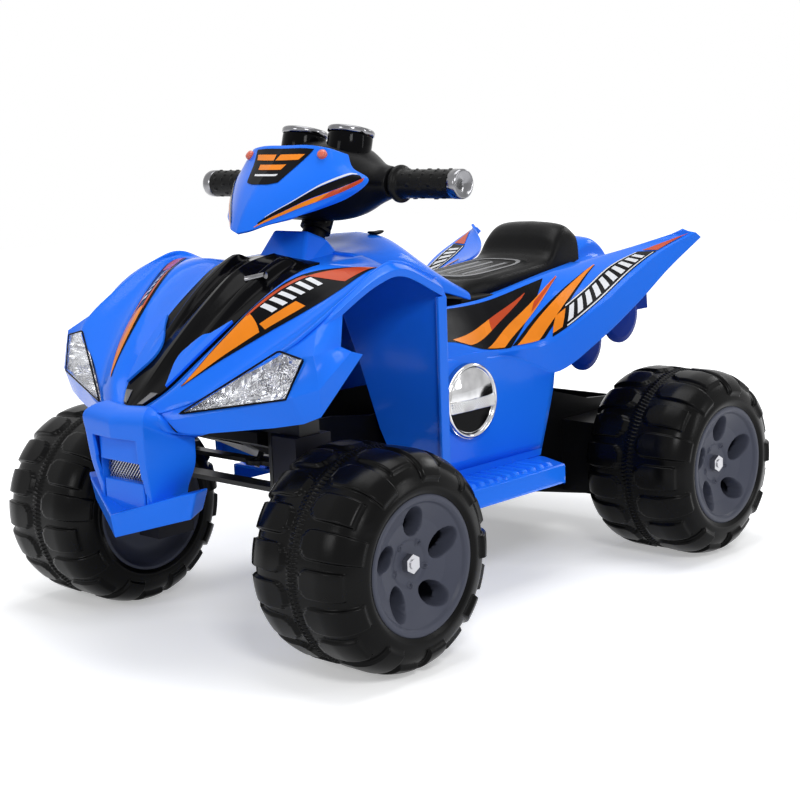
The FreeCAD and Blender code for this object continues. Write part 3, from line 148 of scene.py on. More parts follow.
def piece(name, parts, body, replaces=(), smooth=True):
    """A named object from one or more (points, faces) pairs, riding on a body."""
    points, faces, start = [], [], 0
    for p, f in parts:
        p = np.asarray(p, float).reshape(-1, 3)
        faces += (f + start).tolist() if isinstance(f, np.ndarray) else [[v + start for v in face] for face in f]
        points.append(p)
        start += len(p)
    mesh = bpy.data.meshes.new(name)
    mesh.from_pydata(np.concatenate(points).tolist(), [], faces)
    mesh.validate()
    if smooth:
        mesh.shade_smooth()
    thing = bpy.data.objects.new(name, mesh)
    bpy.context.scene.collection.objects.link(thing)
    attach(thing, body)
    for node in replaces:
        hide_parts(node)
    return thing


def grid_piece(name, grid, body, replaces=(), wrap=(False, False), away=None, wall=0, bevel=0):
    """A piece from one grid of points. It keeps the grid's two parameters as its UV map, can get a wall
    towards its inside, and small rounded edges."""
    quads = quads_of(grid, wrap, away)
    thing = piece(name, [(grid, quads)], body, replaces)
    rows, cols = grid.shape[:2]
    u, v = np.meshgrid(np.linspace(0, 1, rows), np.linspace(0, 1, cols), indexing="ij")
    loops = np.zeros(len(thing.data.loops), np.int32)
    thing.data.loops.foreach_get("vertex_index", loops)
    layer = thing.data.uv_layers.new(name="grid")
    layer.data.foreach_set("uv", np.stack([v.ravel()[loops], u.ravel()[loops]], 1).astype(np.float32).ravel())
    finish_edges(thing, wall, bevel)
    return thing


def finish_edges(thing, wall=0, bevel=0):
    """A wall of even thickness behind the surface, then small round edges where it turns sharply."""
    if wall:
        shell = thing.modifiers.new("wall", "SOLIDIFY")
        shell.thickness = wall
        shell.offset = -1
    if bevel:
        edge = thing.modifiers.new("edge", "BEVEL")
        edge.width = bevel
        edge.segments = 2
        edge.limit_method = "ANGLE"
        edge.angle_limit = math.radians(40)
        edge.harden_normals = False


# %% [markdown]
# Three more kinds of shape come back again and again: flat plates, turned rings such as caps and bezels, and thin
# round beads such as wires and rims. Blender has ready-made cylinders for some of them, but a profile swept round an
# axis, or a circle carried along a path, gives each its own section in the right place at once.

# %% Plates, rings and beads
def plate(outline, way):
    """A flat plate: an outline of points and its copy moved along a way, with faces between."""
    low = np.asarray(outline, float)
    count = len(low)
    high = low + np.asarray(way, float)
    spokes = low - low[0]
    area = np.cross(spokes, np.roll(spokes, -1, 0)).sum(0)
    order = list(range(count)) if np.dot(area, way) < 0 else list(range(count))[::-1]
    faces = [order, [i + count for i in order[::-1]]]
    for i, j in zip(order, order[1:] + order[:1]):
        faces.append([j, i, i + count, j + count])
    return np.concatenate([low, high]), faces


def ring_grid(profile, centre, across=(1, 0, 0), turns=96, upright=(0, 0, 1)):
    """A turned surface: a profile of (distance along the axis, radius) swept round the axis."""
    axis = np.asarray(across, float) / np.linalg.norm(across)
    one = np.asarray(upright, float) - axis * np.dot(upright, axis)
    one = one / np.linalg.norm(one)
    two = np.cross(axis, one)
    angle = np.linspace(0, 2 * np.pi, turns, endpoint=False)
    spoke = np.cos(angle)[:, None] * one + np.sin(angle)[:, None] * two
    profile = np.asarray(profile, float)
    return np.asarray(centre, float) + profile[:, 0, None, None] * axis + profile[:, 1, None, None] * spoke


def tube(path, radius, sides=10, closed=False):
    """A round bead along a path: circles square to the path's direction."""
    path = np.asarray(path, float)
    way = np.gradient(path, axis=0)
    if closed:
        way = np.roll(path, -1, 0) - np.roll(path, 1, 0)
    way = way / np.linalg.norm(way, axis=1, keepdims=True)
    side = np.cross(way, (0.31, 0.22, 0.92))
    side = side / np.linalg.norm(side, axis=1, keepdims=True)
    up = np.cross(side, way)
    angle = np.linspace(0, 2 * np.pi, sides, endpoint=False)
    return path[:, None] + radius * (np.cos(angle)[:, None] * side[:, None] + np.sin(angle)[:, None] * up[:, None])


def bead(path, radius, sides=10, closed=False):
    """A bead as points and faces, with its two ends closed by flat caps."""
    grid = tube(path, radius, sides, closed)
    rows = len(grid)
    faces = [list(q) for q in quads_of(grid, (closed, True))]
    if not closed:
        faces += [list(range(sides))[::-1], list(range((rows - 1) * sides, rows * sides))]
    return grid, faces


print("a straight bead has", len(bead(np.eye(3)[:2], 0.1)[1]), "faces")

# %% [markdown]
# The camera stands where the photographer stood: in front and to the left of the bike, a little above it, with
# a slight roll. Its place came from fitting the wheels' ellipses.

# %% Camera
EYE = np.array((1.6056, -1.6625, 0.6598))
AZIMUTH, ELEVATION, ROLL = math.radians(43.60), math.radians(9.97), math.radians(-2.30)
FOCAL_PIXELS, PIXELS = 1653, 800
back = np.array((math.sin(AZIMUTH) * math.cos(ELEVATION), -math.cos(AZIMUTH) * math.cos(ELEVATION),
                 math.sin(ELEVATION)))
right = np.array((math.cos(AZIMUTH), math.sin(AZIMUTH), 0))
up = np.cross(back, right)
right_rolled = math.cos(ROLL) * right + math.sin(ROLL) * up
up_rolled = -math.sin(ROLL) * right + math.cos(ROLL) * up
lens = bpy.data.cameras.new("camera")
lens.sensor_width = 36
lens.lens = FOCAL_PIXELS / PIXELS * lens.sensor_width
lens.clip_end = 50
camera = bpy.data.objects.new("camera", lens)
matrix = np.eye(4)
matrix[:3, 0], matrix[:3, 1], matrix[:3, 2], matrix[:3, 3] = right_rolled, up_rolled, back, EYE
camera.matrix_world = Matrix(matrix.tolist())
bpy.context.scene.collection.objects.link(camera)
bpy.context.scene.camera = camera
print("camera lens", round(lens.lens, 2), "mm")

# %% [markdown]
# Moulded plastic is never one flat colour. Four small effects are shared by all finishes: a fine grain left by
# the mould, slow shade changes over a panel, rubbed streaks from handling, and dust that settles on faces that
# look up. Each is a node group, built once, and every finish places them with its own values. On the chrome
# finishes the slow shade changes are strong, and there they are painted reflections of darker surroundings.

# %% Shared effects
def new_group(name, inputs, outputs):
    """An empty shader group with named number inputs and outputs."""
    group = bpy.data.node_groups.new(name, "ShaderNodeTree")
    for label, value in inputs:
        group.interface.new_socket(name=label, in_out="INPUT", socket_type="NodeSocketFloat").default_value = value
    for label in outputs:
        group.interface.new_socket(name=label, in_out="OUTPUT", socket_type="NodeSocketFloat")
    return group, group.nodes.new("NodeGroupInput"), group.nodes.new("NodeGroupOutput")


def add(tree, kind, **values):
    """A node with some of its settings and inputs filled in."""
    node = tree.nodes.new(kind)
    for key, value in values.items():
        if hasattr(node, key):
            setattr(node, key, value)
        else:
            node.inputs[key.replace("_", " ")].default_value = value
    return node


def mould_grain():
    """Fine noise, and slow noise, both around one half."""
    group, start, end = new_group("mould_grain", [("Fine", 900.0), ("Slow", 7.0)], ["Grain", "Shade"])
    place = group.nodes.new("ShaderNodeTexCoord")
    for label, out, detail in (("Fine", "Grain", 3.0), ("Slow", "Shade", 2.0)):
        noise = add(group, "ShaderNodeTexNoise", Detail=detail)
        group.links.new(place.outputs["Object"], noise.inputs["Vector"])
        group.links.new(start.outputs[label], noise.inputs["Scale"])
        group.links.new(noise.outputs["Fac"], end.inputs[out])
    return group


def rubbed_streaks():
    """Thin streaks: noise stretched along the bike and cut off high up."""
    group, start, end = new_group("rubbed_streaks", [("Scale", 60.0), ("Amount", 0.3)], ["Mask"])
    place = group.nodes.new("ShaderNodeTexCoord")
    turn = add(group, "ShaderNodeMapping", Rotation=(0.2, 0.5, 0.9), Scale=(1.0, 0.07, 1.0))
    noise = add(group, "ShaderNodeTexNoise", Detail=4.0)
    cut = add(group, "ShaderNodeMapRange", From_Min=0.63, From_Max=0.78)
    times = add(group, "ShaderNodeMath", operation="MULTIPLY")
    group.links.new(place.outputs["Object"], turn.inputs["Vector"])
    group.links.new(turn.outputs["Vector"], noise.inputs["Vector"])
    group.links.new(start.outputs["Scale"], noise.inputs["Scale"])
    group.links.new(noise.outputs["Fac"], cut.inputs["Value"])
    group.links.new(cut.outputs["Result"], times.inputs[0])
    group.links.new(start.outputs["Amount"], times.inputs[1])
    group.links.new(times.outputs["Value"], end.inputs["Mask"])
    return group


def settled_dust():
    """A mask on faces that look up, broken by noise."""
    group, start, end = new_group("settled_dust", [("Amount", 0.1)], ["Mask"])
    place = group.nodes.new("ShaderNodeTexCoord")
    shape = group.nodes.new("ShaderNodeNewGeometry")
    split = group.nodes.new("ShaderNodeSeparateXYZ")
    noise = add(group, "ShaderNodeTexNoise", Scale=26.0, Detail=5.0)
    facing = add(group, "ShaderNodeMapRange", From_Min=0.25, From_Max=1.0)
    patch = add(group, "ShaderNodeMapRange", From_Min=0.35, From_Max=0.7)
    both = add(group, "ShaderNodeMath", operation="MULTIPLY")
    times = add(group, "ShaderNodeMath", operation="MULTIPLY")
    group.links.new(shape.outputs["Normal"], split.inputs["Vector"])
    group.links.new(split.outputs["Z"], facing.inputs["Value"])
    group.links.new(place.outputs["Object"], noise.inputs["Vector"])
    group.links.new(noise.outputs["Fac"], patch.inputs["Value"])
    group.links.new(facing.outputs["Result"], both.inputs[0])
    group.links.new(patch.outputs["Result"], both.inputs[1])
    group.links.new(both.outputs["Value"], times.inputs[0])
    group.links.new(start.outputs["Amount"], times.inputs[1])
    group.links.new(times.outputs["Value"], end.inputs["Mask"])
    return group


GRAIN, STREAKS, DUST = mould_grain(), rubbed_streaks(), settled_dust()
print("groups", [g.name for g in (GRAIN, STREAKS, DUST)])

# %% [markdown]
# Every finish starts from the same recipe: its colour shaded a little by the slow noise, lightened along the
# rubbed streaks and under the dust, a roughness that changes with the grain, and a faint bump. What differs is
# the values: wet-looking blue for the body, dull black for the frame, slate grey for the wheel discs.

# %% Finishes
def finish(name, colour, rough, metal=0.0, coat=0.0, fine=900.0, slow=7.0, bump=0.02, shade=0.12, streak=0.15,
           streak_size=60.0, dust=0.03, spread=0.08, shine=0.5):
    """A finish from its colour, gloss and the strengths of the shared effects."""
    material = bpy.data.materials.new(name)
    material.use_nodes = True
    tree = material.node_tree
    shader = tree.nodes["Principled BSDF"]
    shader.inputs["Metallic"].default_value = metal
    shader.inputs["Specular IOR Level"].default_value = shine
    shader.inputs["Coat Weight"].default_value = coat
    shader.inputs["Coat Roughness"].default_value = 0.06
    grain, streaks, settled = (tree.nodes.new("ShaderNodeGroup") for _ in range(3))
    grain.node_tree, streaks.node_tree, settled.node_tree = GRAIN, STREAKS, DUST
    grain.inputs["Fine"].default_value, grain.inputs["Slow"].default_value = fine, slow
    streaks.inputs["Scale"].default_value, streaks.inputs["Amount"].default_value = streak_size, streak
    settled.inputs["Amount"].default_value = dust
    base = np.array(colour)
    # The slow noise moves the colour between a darker and a lighter copy: a random tone on the plastics, and painted
    # reflection on the chromes, where shade is large.
    tone = tree.nodes.new("ShaderNodeMix")
    tone.data_type = "RGBA"
    tone.inputs["A"].default_value = (*np.clip(base * (1 - shade), 0, 1), 1)
    tone.inputs["B"].default_value = (*np.clip(base * (1 + shade), 0, 1), 1)
    rub = tree.nodes.new("ShaderNodeMix")
    rub.data_type = "RGBA"
    rub.inputs["B"].default_value = (*np.clip(base * 0.7 + 0.10, 0, 1), 1)
    grey = tree.nodes.new("ShaderNodeMix")
    grey.data_type = "RGBA"
    grey.inputs["B"].default_value = (0.42, 0.40, 0.37, 1)
    gloss = tree.nodes.new("ShaderNodeMapRange")
    gloss.inputs["From Min"].default_value, gloss.inputs["From Max"].default_value = 0.3, 0.7
    gloss.inputs["To Min"].default_value = max(rough - spread, 0.02)
    gloss.inputs["To Max"].default_value = min(rough + spread, 1)
    lift = tree.nodes.new("ShaderNodeBump")
    lift.inputs["Strength"].default_value = bump
    lift.inputs["Distance"].default_value = 0.002
    link = tree.links.new
    link(grain.outputs["Shade"], tone.inputs["Factor"])
    link(tone.outputs["Result"], rub.inputs["A"])
    link(streaks.outputs["Mask"], rub.inputs["Factor"])
    link(rub.outputs["Result"], grey.inputs["A"])
    link(settled.outputs["Mask"], grey.inputs["Factor"])
    link(grey.outputs["Result"], shader.inputs["Base Color"])
    link(grain.outputs["Shade"], gloss.inputs["Value"])
    link(gloss.outputs["Result"], shader.inputs["Roughness"])
    link(grain.outputs["Grain"], lift.inputs["Height"])
    link(lift.outputs["Normal"], shader.inputs["Normal"])
    return material


LOOKS = {
    "body_blue": dict(colour=(0.012, 0.165, 0.860), rough=0.16, coat=0.03, bump=0.010, shade=0.05, streak=0.03,
                      dust=0.004, shine=0.10),
    # A darker copy of the body blue: painted shade for the skirts that hang under the wings.
    "painted_shade_blue": dict(colour=(0.003, 0.032, 0.300), rough=0.26, bump=0.012, shade=0.08, streak=0.02, dust=0.002,
                       shine=0.03),
    "frame_black": dict(colour=(0.0045, 0.0045, 0.005), rough=0.36, bump=0.08, fine=1400, streak=0.03, dust=0.008,
                        shine=0.07),
    "tyre_black": dict(colour=(0.0025, 0.0025, 0.0026), rough=0.24, bump=0.04, fine=1100, streak=0.03,
                       streak_size=40, dust=0.004, shine=0.08),
    "slate_grey": dict(colour=(0.058, 0.063, 0.088), rough=0.38, bump=0.06, fine=1300, streak=0.05, dust=0.01,
                       shine=0.16),
    "gloss_black": dict(colour=(0.0025, 0.0025, 0.003), rough=0.10, bump=0.010, streak=0.02, dust=0.003,
                        shine=0.04),
    "seat_black": dict(colour=(0.0035, 0.0035, 0.0037), rough=0.28, bump=0.12, fine=1500, streak=0.03, dust=0.006,
                       shine=0.09),
    "grip_rubber": dict(colour=(0.0045, 0.0045, 0.0045), rough=0.36, bump=0.12, fine=1600, streak=0.04, dust=0.008,
                        shine=0.09),
    # On the three chromes the large shade and the slow noise paint patches of reflection: dark and light areas that
    # stand for the darker surroundings seen in the metal.
    "chrome_trim": dict(colour=(0.50, 0.50, 0.51), rough=0.10, metal=1.0, bump=0.01, shade=0.45, slow=45.0,
                        streak=0.06, dust=0.01, spread=0.04),
    "dark_chrome": dict(colour=(0.20, 0.20, 0.21), rough=0.16, metal=1.0, bump=0.02, shade=0.40, slow=60.0,
                        streak=0.08, dust=0.01, spread=0.05),
    "lamp_chrome": dict(colour=(0.56, 0.56, 0.58), rough=0.12, metal=1.0, bump=0.01, shade=0.60, slow=95.0,
                        streak=0.06, dust=0.0, spread=0.04),
    "stud_red": dict(colour=(0.62, 0.10, 0.05), rough=0.22, coat=0.2, dust=0.01),
    "gear_white": dict(colour=(0.72, 0.70, 0.64), rough=0.45, dust=0.03),
    "steel": dict(colour=(0.42, 0.42, 0.44), rough=0.30, metal=1.0, bump=0.05, shade=0.25, slow=30.0, streak=0.25,
                  dust=0.03),
    "link_steel": dict(colour=(0.016, 0.016, 0.017), rough=0.36, bump=0.04, streak=0.10, dust=0.02, shine=0.25),
    "film_orange": dict(colour=(0.80, 0.225, 0.012), rough=0.24, shade=0.16, slow=22.0, streak=0.06, dust=0.0,
                        shine=0.12),
    "film_red": dict(colour=(0.50, 0.060, 0.014), rough=0.24, shade=0.16, slow=22.0, streak=0.06, dust=0.0,
                     shine=0.12),
    "film_black": dict(colour=(0.005, 0.005, 0.006), rough=0.24, shade=0.20, slow=20.0, streak=0.03, dust=0.0,
                       shine=0.04),
    "film_grey": dict(colour=(0.24, 0.24, 0.245), rough=0.40, shade=0.20, slow=30.0, streak=0.06, dust=0.0,
                      shine=0.06),
    "leg_grey": dict(colour=(0.016, 0.016, 0.022), rough=0.38, bump=0.05, streak=0.05, dust=0.01, shine=0.10),
    "film_white": dict(colour=(0.70, 0.71, 0.73), rough=0.26, shade=0.06, slow=20.0, streak=0.10, dust=0.0,
                       shine=0.12),
}
FINISH = {name: finish(name, **look) for name, look in LOOKS.items()}
print(len(FINISH), "finishes")

# %% [markdown]
# Clear polycarbonate bends light, so the lamp lens is a glass finish: full transmission, a little roughness, and
# fine upright flutes pressed into it, which a wave pattern gives as bump.

# %% Lens finish
def clear_lens():
    """Clear plastic with fine upright flutes."""
    material = bpy.data.materials.new("lens_clear")
    material.use_nodes = True
    tree = material.node_tree
    shader = tree.nodes["Principled BSDF"]
    shader.inputs["Base Color"].default_value = (0.97, 0.98, 0.99, 1)
    shader.inputs["Roughness"].default_value = 0.03
    shader.inputs["Transmission Weight"].default_value = 1.0
    shader.inputs["IOR"].default_value = 1.2
    place = tree.nodes.new("ShaderNodeTexCoord")
    wave = tree.nodes.new("ShaderNodeTexWave")
    wave.inputs["Scale"].default_value = 70
    lift = tree.nodes.new("ShaderNodeBump")
    lift.inputs["Strength"].default_value = 0.10
    lift.inputs["Distance"].default_value = 0.001
    tree.links.new(place.outputs["Object"], wave.inputs["Vector"])
    tree.links.new(wave.outputs["Fac"], lift.inputs["Height"])
    tree.links.new(lift.outputs["Normal"], shader.inputs["Normal"])
    return material


FINISH["lens_clear"] = clear_lens()
print("lens made of", FINISH["lens_clear"].name)

# %% [markdown]
# Each solid of the frame has a material in its record. The moving and hidden pieces that keep their own solid wear
# the finish of that name. A few steel pieces and the two legs of the front axle are darker on the real bike, so they
# get a finish of their own.

# %% Dress the frame
def dress(thing, name):
    """Gives a piece one finish."""
    thing.data.materials.clear()
    thing.data.materials.append(FINISH[name])


SLOT_OF = {row["node"]: row["material_slot"] for row in frame["record"]["subparts"]}
LOOK_OF = dict.fromkeys(("axle_beam", "tie_rod", "steering_column", "kingpins", "front_crossmember"), "link_steel")
LOOK_OF |= dict.fromkeys(("knuckle_left", "knuckle_right"), "leg_grey")
for name, thing in NODES.items():
    dress(thing, LOOK_OF.get(name, SLOT_OF[name]))
print("finishes given to", len(NODES), "frame nodes")

# %% [markdown]
# The front body is one big moulding: a hood valley in the middle, a crest each side, and an outer slope that
# ends at a crease over the wheel arch. Its rows run from the nose to the dash. The crest stays rounded, and the
# valley beside the hood insert is a corner, so the rows are smooth between those corners only.

# %% Front fenders
FENDER = front((
    ((0, -154, 173), (0, -124, 195), (0, -79, 231), (0, -29, 270), (0, 21, 306), (0, 66, 329), (0, 116, 338),
     (0, 173, 345)),
    ((18, -148, 179), (40, -124, 199), (58, -79, 237), (70, -29, 273), (79, 21, 303), (86, 66, 325),
     (90, 116, 335), (88, 173, 339)),
    ((34, -151, 183), (66, -124, 211), (90, -79, 255), (106, -29, 297), (117, 22, 327), (118, 71, 338),
     (112, 121, 331), (122, 174, 328)),
    ((45, -151, 181), (85, -126, 198), (125, -81, 231), (160, -23, 271), (182, 36, 308), (194, 81, 331),
     (188, 121, 331), (180, 174, 320)),
    ((52, -151, 177), (92, -127, 192), (140, -101, 222), (200, -70, 259), (213, 9, 306), (210, 71, 336),
     (207, 114, 342), (214, 174, 317)),
))
BELOW_BODY = (0, -0.25, 0.2)
fender_half = creased(curve(FENDER, 8, axis=1), 8, (1,), axis=0)
fender = grid_piece("front_fenders", mirrored(fender_half), "chassis", ("front_body",),
                    away=BELOW_BODY, wall=0.004, bevel=0.0012)
dress(fender, "body_blue")
print("fender grid", mirrored(fender_half).shape)

# %% [markdown]
# Most skins come in a left and a right copy. A helper makes both from the left one, with the faces of the right
# one turned round, so that each side faces away from the inside of the bike.

# %% Left and right skins
def flip(grid):
    """The same points on the other side of the bike."""
    return np.asarray(grid, float) * (-1, 1, 1)


def pair_piece(name, grid, body, away, keep=None, wall=0.004, bevel=0.0012, extra=()):
    """One object with a left grid and its mirror image. keep says which faces stay, by their centres."""
    parts = []
    for g, inside in ((grid, np.asarray(away, float)), (flip(grid), np.asarray(away, float) * (-1, 1, 1))):
        quads = quads_of(g, away=inside)
        if keep is not None:
            centres = g.reshape(-1, 3)[quads].mean(1) * ((1, 1, 1) if g is grid else (-1, 1, 1))
            quads = quads[keep(centres)]
        parts.append((g, quads))
    thing = piece(name, parts + list(extra), body)
    finish_edges(thing, wall, bevel)
    return thing


print("left and right skins can be made")

# %% [markdown]
# The lip over each wheel arch turns outwards from the fender's crease, then down. It could be a bend of the fender's
# own grid, but as a strip of three rows it keeps a sharp fold, and its section can change along the arch.

# %% Arch lips
ARCH_LIP = front((
    ((198, -67, 257), (211, 10, 304.5), (208, 70, 334.5), (205, 113, 340.5), (212, 172, 315.5)),
    ((206, -60, 252), (222, 5, 300), (225, 61, 327), (226, 108, 332), (226, 174, 302)),
    ((205, -58, 245), (221, 7, 292), (224, 61, 318), (225, 106, 323), (225, 174, 292)),
))
arch_lip = pair_piece("arch_lips", creased(curve(ARCH_LIP, 10, axis=1), 4, (1,)), "chassis",
                      away=(0.15, -0.2, 0.3))
dress(arch_lip, "body_blue")
print("arch lips made from", ARCH_LIP.shape, "points")

# %% [markdown]
# Below the crease the moulding turns into a flat-sided cheek that holds the headlight and ends in a sharp flare.
# The lamp's window is cut by leaving out the faces inside its outline, and a thin bead covers the cut edge.

# %% Lamp cheeks
LAMP_FACE = front((
    ((50.5, -149, 176), (90.5, -125, 191), (138.5, -99, 221), (198.5, -68, 258), (207, -27, 281), (215, 8, 303)),
    ((57, -147, 173), (96, -128, 185), (144, -104, 209), (207, -74, 243), (238, -67, 250), (231, -15, 253)),
    ((62, -146, 169), (100, -131, 176), (150, -111, 186), (222, -89, 203), (248, -69, 211), (255, -22, 250)),
    ((72, -137, 153), (112, -123, 155), (190, -91, 164), (226, -76, 170), (244, -65, 178), (260, -8, 245)),
))
LAMP = front(((78, -139, 178), (191, -77, 253), (227, -73, 245), (214, -91, 200)))
LAMP_WAY = np.array((0.26, -0.90, 0.36)) / np.linalg.norm((0.26, -0.90, 0.36))
LAMP_ONE = np.cross(LAMP_WAY, (0, 0, 1)) / np.linalg.norm(np.cross(LAMP_WAY, (0, 0, 1)))
LAMP_TWO = np.cross(LAMP_ONE, LAMP_WAY)
UPPER_CORNER = 0.78  # how far along s the lamp's upper edge bends down to its outer end


def lamp_patch(s, t, lift, share=1.0):
    """A point of the lamp's four-cornered patch: s runs from the inner tip to the outer end, t from its lower
    edge to its upper edge. share draws it in towards the middle, and lift moves it outwards."""
    middle = LAMP.mean(0)
    a, b, c, d = middle + (LAMP - middle) * share
    s = s[..., None]
    low = a + (d - a) * s
    high = np.where(s < UPPER_CORNER, a + (b - a) * (s / UPPER_CORNER),
                    b + (c - b) * ((s - UPPER_CORNER) / (1 - UPPER_CORNER)))
    return low + (high - low) * t[..., None] + LAMP_WAY * np.asarray(lift)[..., None]


def outside_lamp(centres):
    """True for points that lie outside the lamp's outline, seen square to the lamp."""
    flat = np.stack([(centres - LAMP[0]) @ LAMP_ONE, (centres - LAMP[0]) @ LAMP_TWO], 1)
    edge = np.stack([(LAMP - LAMP[0]) @ LAMP_ONE, (LAMP - LAMP[0]) @ LAMP_TWO], 1)
    turn = np.stack([(e1[0] - e0[0]) * (flat[:, 1] - e0[1]) - (e1[1] - e0[1]) * (flat[:, 0] - e0[0])
                     for e0, e1 in zip(edge, np.roll(edge, -1, 0))], 1)
    return ~(np.all(turn > 0, 1) | np.all(turn < 0, 1))


cheek_grid = creased(creased(LAMP_FACE, 26, (1, 2, 3, 4), axis=1), 24, (1, 2), axis=0)
cheeks = pair_piece("lamp_cheeks", cheek_grid, "chassis", away=(0.12, -0.25, 0.25),
                    keep=outside_lamp)
dress(cheeks, "body_blue")
for side, name in ((1, "left"), (-1, "right")):
    s = np.concatenate([np.linspace(0, 1, 30), np.ones(8), np.linspace(1, 0, 40)[1:]])
    t = np.concatenate([np.zeros(30), np.linspace(0, 1, 8), np.ones(39)])
    rim = lamp_patch(s, t, np.full(s.shape, 0.0008)) * (side, 1, 1)
    rim = piece("lamp_rim_" + name, [bead(rim[:-1], 0.0013, 8, closed=True)], "chassis")
    dress(rim, "gloss_black")
# A narrow strip each side closes the corner between the cheek and the nose mask.
ROOT = front((((54, -156, 180), (61, -158.5, 171), (62.5, -150, 156), (73, -113, 144)),
              ((57, -147, 174), (62, -146, 169), (72, -137, 153), (112, -123, 155))))
roots = pair_piece("cheek_roots", curve(ROOT, 6, axis=1), "chassis", away=(0.0, -0.38, 0.36),
                   wall=0.002, bevel=0)
dress(roots, "body_blue")
print("cheek grid", cheek_grid.shape)

# %% [markdown]
# The headlight is a bright bowl of small facets behind a clear cover, in a black housing that keeps light out from
# behind. The bowl is the lamp's patch pushed back in the middle, with saw-tooth ribs near the inner tip and a stepped
# fan in the wide end, flat shaded so that each facet flashes by itself. The housing is the same patch, set further
# back.

# %% Headlights
# Depth = a hollow that is flat at the edges, plus the ribs, the fan and a cup round the bulb's place.
s, t = np.meshgrid(np.linspace(0, 1, 81), np.linspace(0, 1, 25), indexing="ij")
hollow = (1 - (2 * s - 1) ** 4) * (1 - (2 * t - 1) ** 2)
rib = np.abs((s * 30) % 1 - 0.5) * 0.0050 * ease(s, 0.02, 0.10) * (1 - ease(s, 0.45, 0.62))
from_bulb = np.hypot((s - 0.76) / 0.20, (t - 0.52) / 0.42)
around_bulb = np.arctan2((t - 0.52) / 0.42, (s - 0.76) / 0.20)
fan = np.abs((around_bulb * 7 / np.pi + from_bulb * 1.5) % 1 - 0.5) * 0.010 * ease(s, 0.40, 0.55)
cup = 0.010 * np.clip(1 - from_bulb ** 2, 0, 1)
bowl = lamp_patch(s, t, -0.003 - 0.010 * hollow - (rib + fan + cup) * np.minimum(hollow * 3, 1), 0.97)
lens_grid = lamp_patch(s, t, 0.0012 + 0.0022 * hollow, 0.995)
shell_grid = lamp_patch(s, t, -0.008 - 0.027 * hollow, 0.975)
for side, name in ((1, "left"), (-1, "right")):
    inside = np.array((0.10, -0.25, 0.30)) * (side, 1, 1)
    reflector = grid_piece("headlight_bowl_" + name, bowl * (side, 1, 1), "chassis",
                           ("headlight_reflector_" + name,), away=inside)
    reflector.data.shade_flat()
    dress(reflector, "lamp_chrome")
    cover = grid_piece("headlight_cover_" + name, lens_grid * (side, 1, 1), "chassis",
                       ("headlight_lens_" + name,), away=inside, wall=0.0018)
    dress(cover, "lens_clear")
    ahead = (LAMP.mean(0) + LAMP_WAY * 0.2) * (side, 1, 1)
    shell = grid_piece("headlight_shell_" + name, shell_grid * (side, 1, 1), "chassis", away=ahead)
    dress(shell, "frame_black")
print("headlight grid", bowl.shape)

# %% [markdown]
# Behind the hood the moulding goes on as a narrow tank between the rider's knees, with a collar round the
# steering column, and behind each front wheel a flap keeps the splash off the feet. The tank is a skin through rows
# of points, while the flaps and the collar are flat-sided, so plates and a tapered box with rounded edges are enough.

# %% Tank, collar and flaps
TANK = front((
    ((0, 160, 345), (0, 200, 350), (0, 250, 362), (0, 300, 346), (0, 345, 316), (0, 376, 290)),
    ((50, 160, 343), (50, 200, 349), (50, 250, 356), (50, 300, 330), (50, 345, 300), (50, 376, 284)),
    ((86, 160, 338), (88, 200, 337), (90, 250, 331), (92, 300, 306), (92, 345, 284), (90, 376, 270)),
    ((92, 160, 300), (98, 200, 296), (99, 250, 290), (99, 300, 280), (99, 345, 268), (97, 376, 258)),
))
tank = grid_piece("tank", mirrored(curve(curve(TANK, 6, axis=1), 6)), "chassis", away=(0, 0, 0.3),
                  wall=0.004, bevel=0.001)
dress(tank, "body_blue")
FLAP = ((62, 334), (90, 336), (122, 326), (180, 318), (213, 314), (226, 290), (223, 37), (144, 37), (104, 110),
        (74, 190), (26, 300))
flap_outline = front([(x, 174, z) for x, z in FLAP])
flange_outline = front(((221, 164, 292), (226, 164, 292), (223, 164, 40), (218, 164, 40)))
parts = []
for sign in (1, -1):
    parts.append(plate(flap_outline * (sign, 1, 1), (0, 0.006, 0)))
    parts.append(plate(flange_outline * (sign, 1, 1), (0, 0.016, 0)))
flaps = piece("wheel_flaps", parts, "chassis", smooth=False)
finish_edges(flaps, 0, 0.0012)
dress(flaps, "body_blue")
COLLAR_LOW = front(((-50, 98, 322), (50, 98, 322), (50, 172, 336), (-50, 172, 336)))
COLLAR_HIGH = front(((-32, 128, 374), (32, 128, 374), (34, 162, 360), (-34, 162, 360)))
BOX_FACES = [(4, 5, 6, 7), (0, 1, 5, 4), (1, 2, 6, 5), (2, 3, 7, 6), (3, 0, 4, 7), (3, 2, 1, 0)]
collar = piece("column_collar", [(np.concatenate([COLLAR_LOW, COLLAR_HIGH]), BOX_FACES)], "chassis",
               smooth=False)
finish_edges(collar, 0, 0.004)
dress(collar, "body_blue")
print("flap outline", len(FLAP), "points, tank rows", TANK.shape)

# %% [markdown]
# On the tank's crown sits the forward and reverse rocker, a small black key that tips both ways about a pin. It is
# moulded with a rounded belly and a slightly dished top, so it is a row of oval rings along its length.

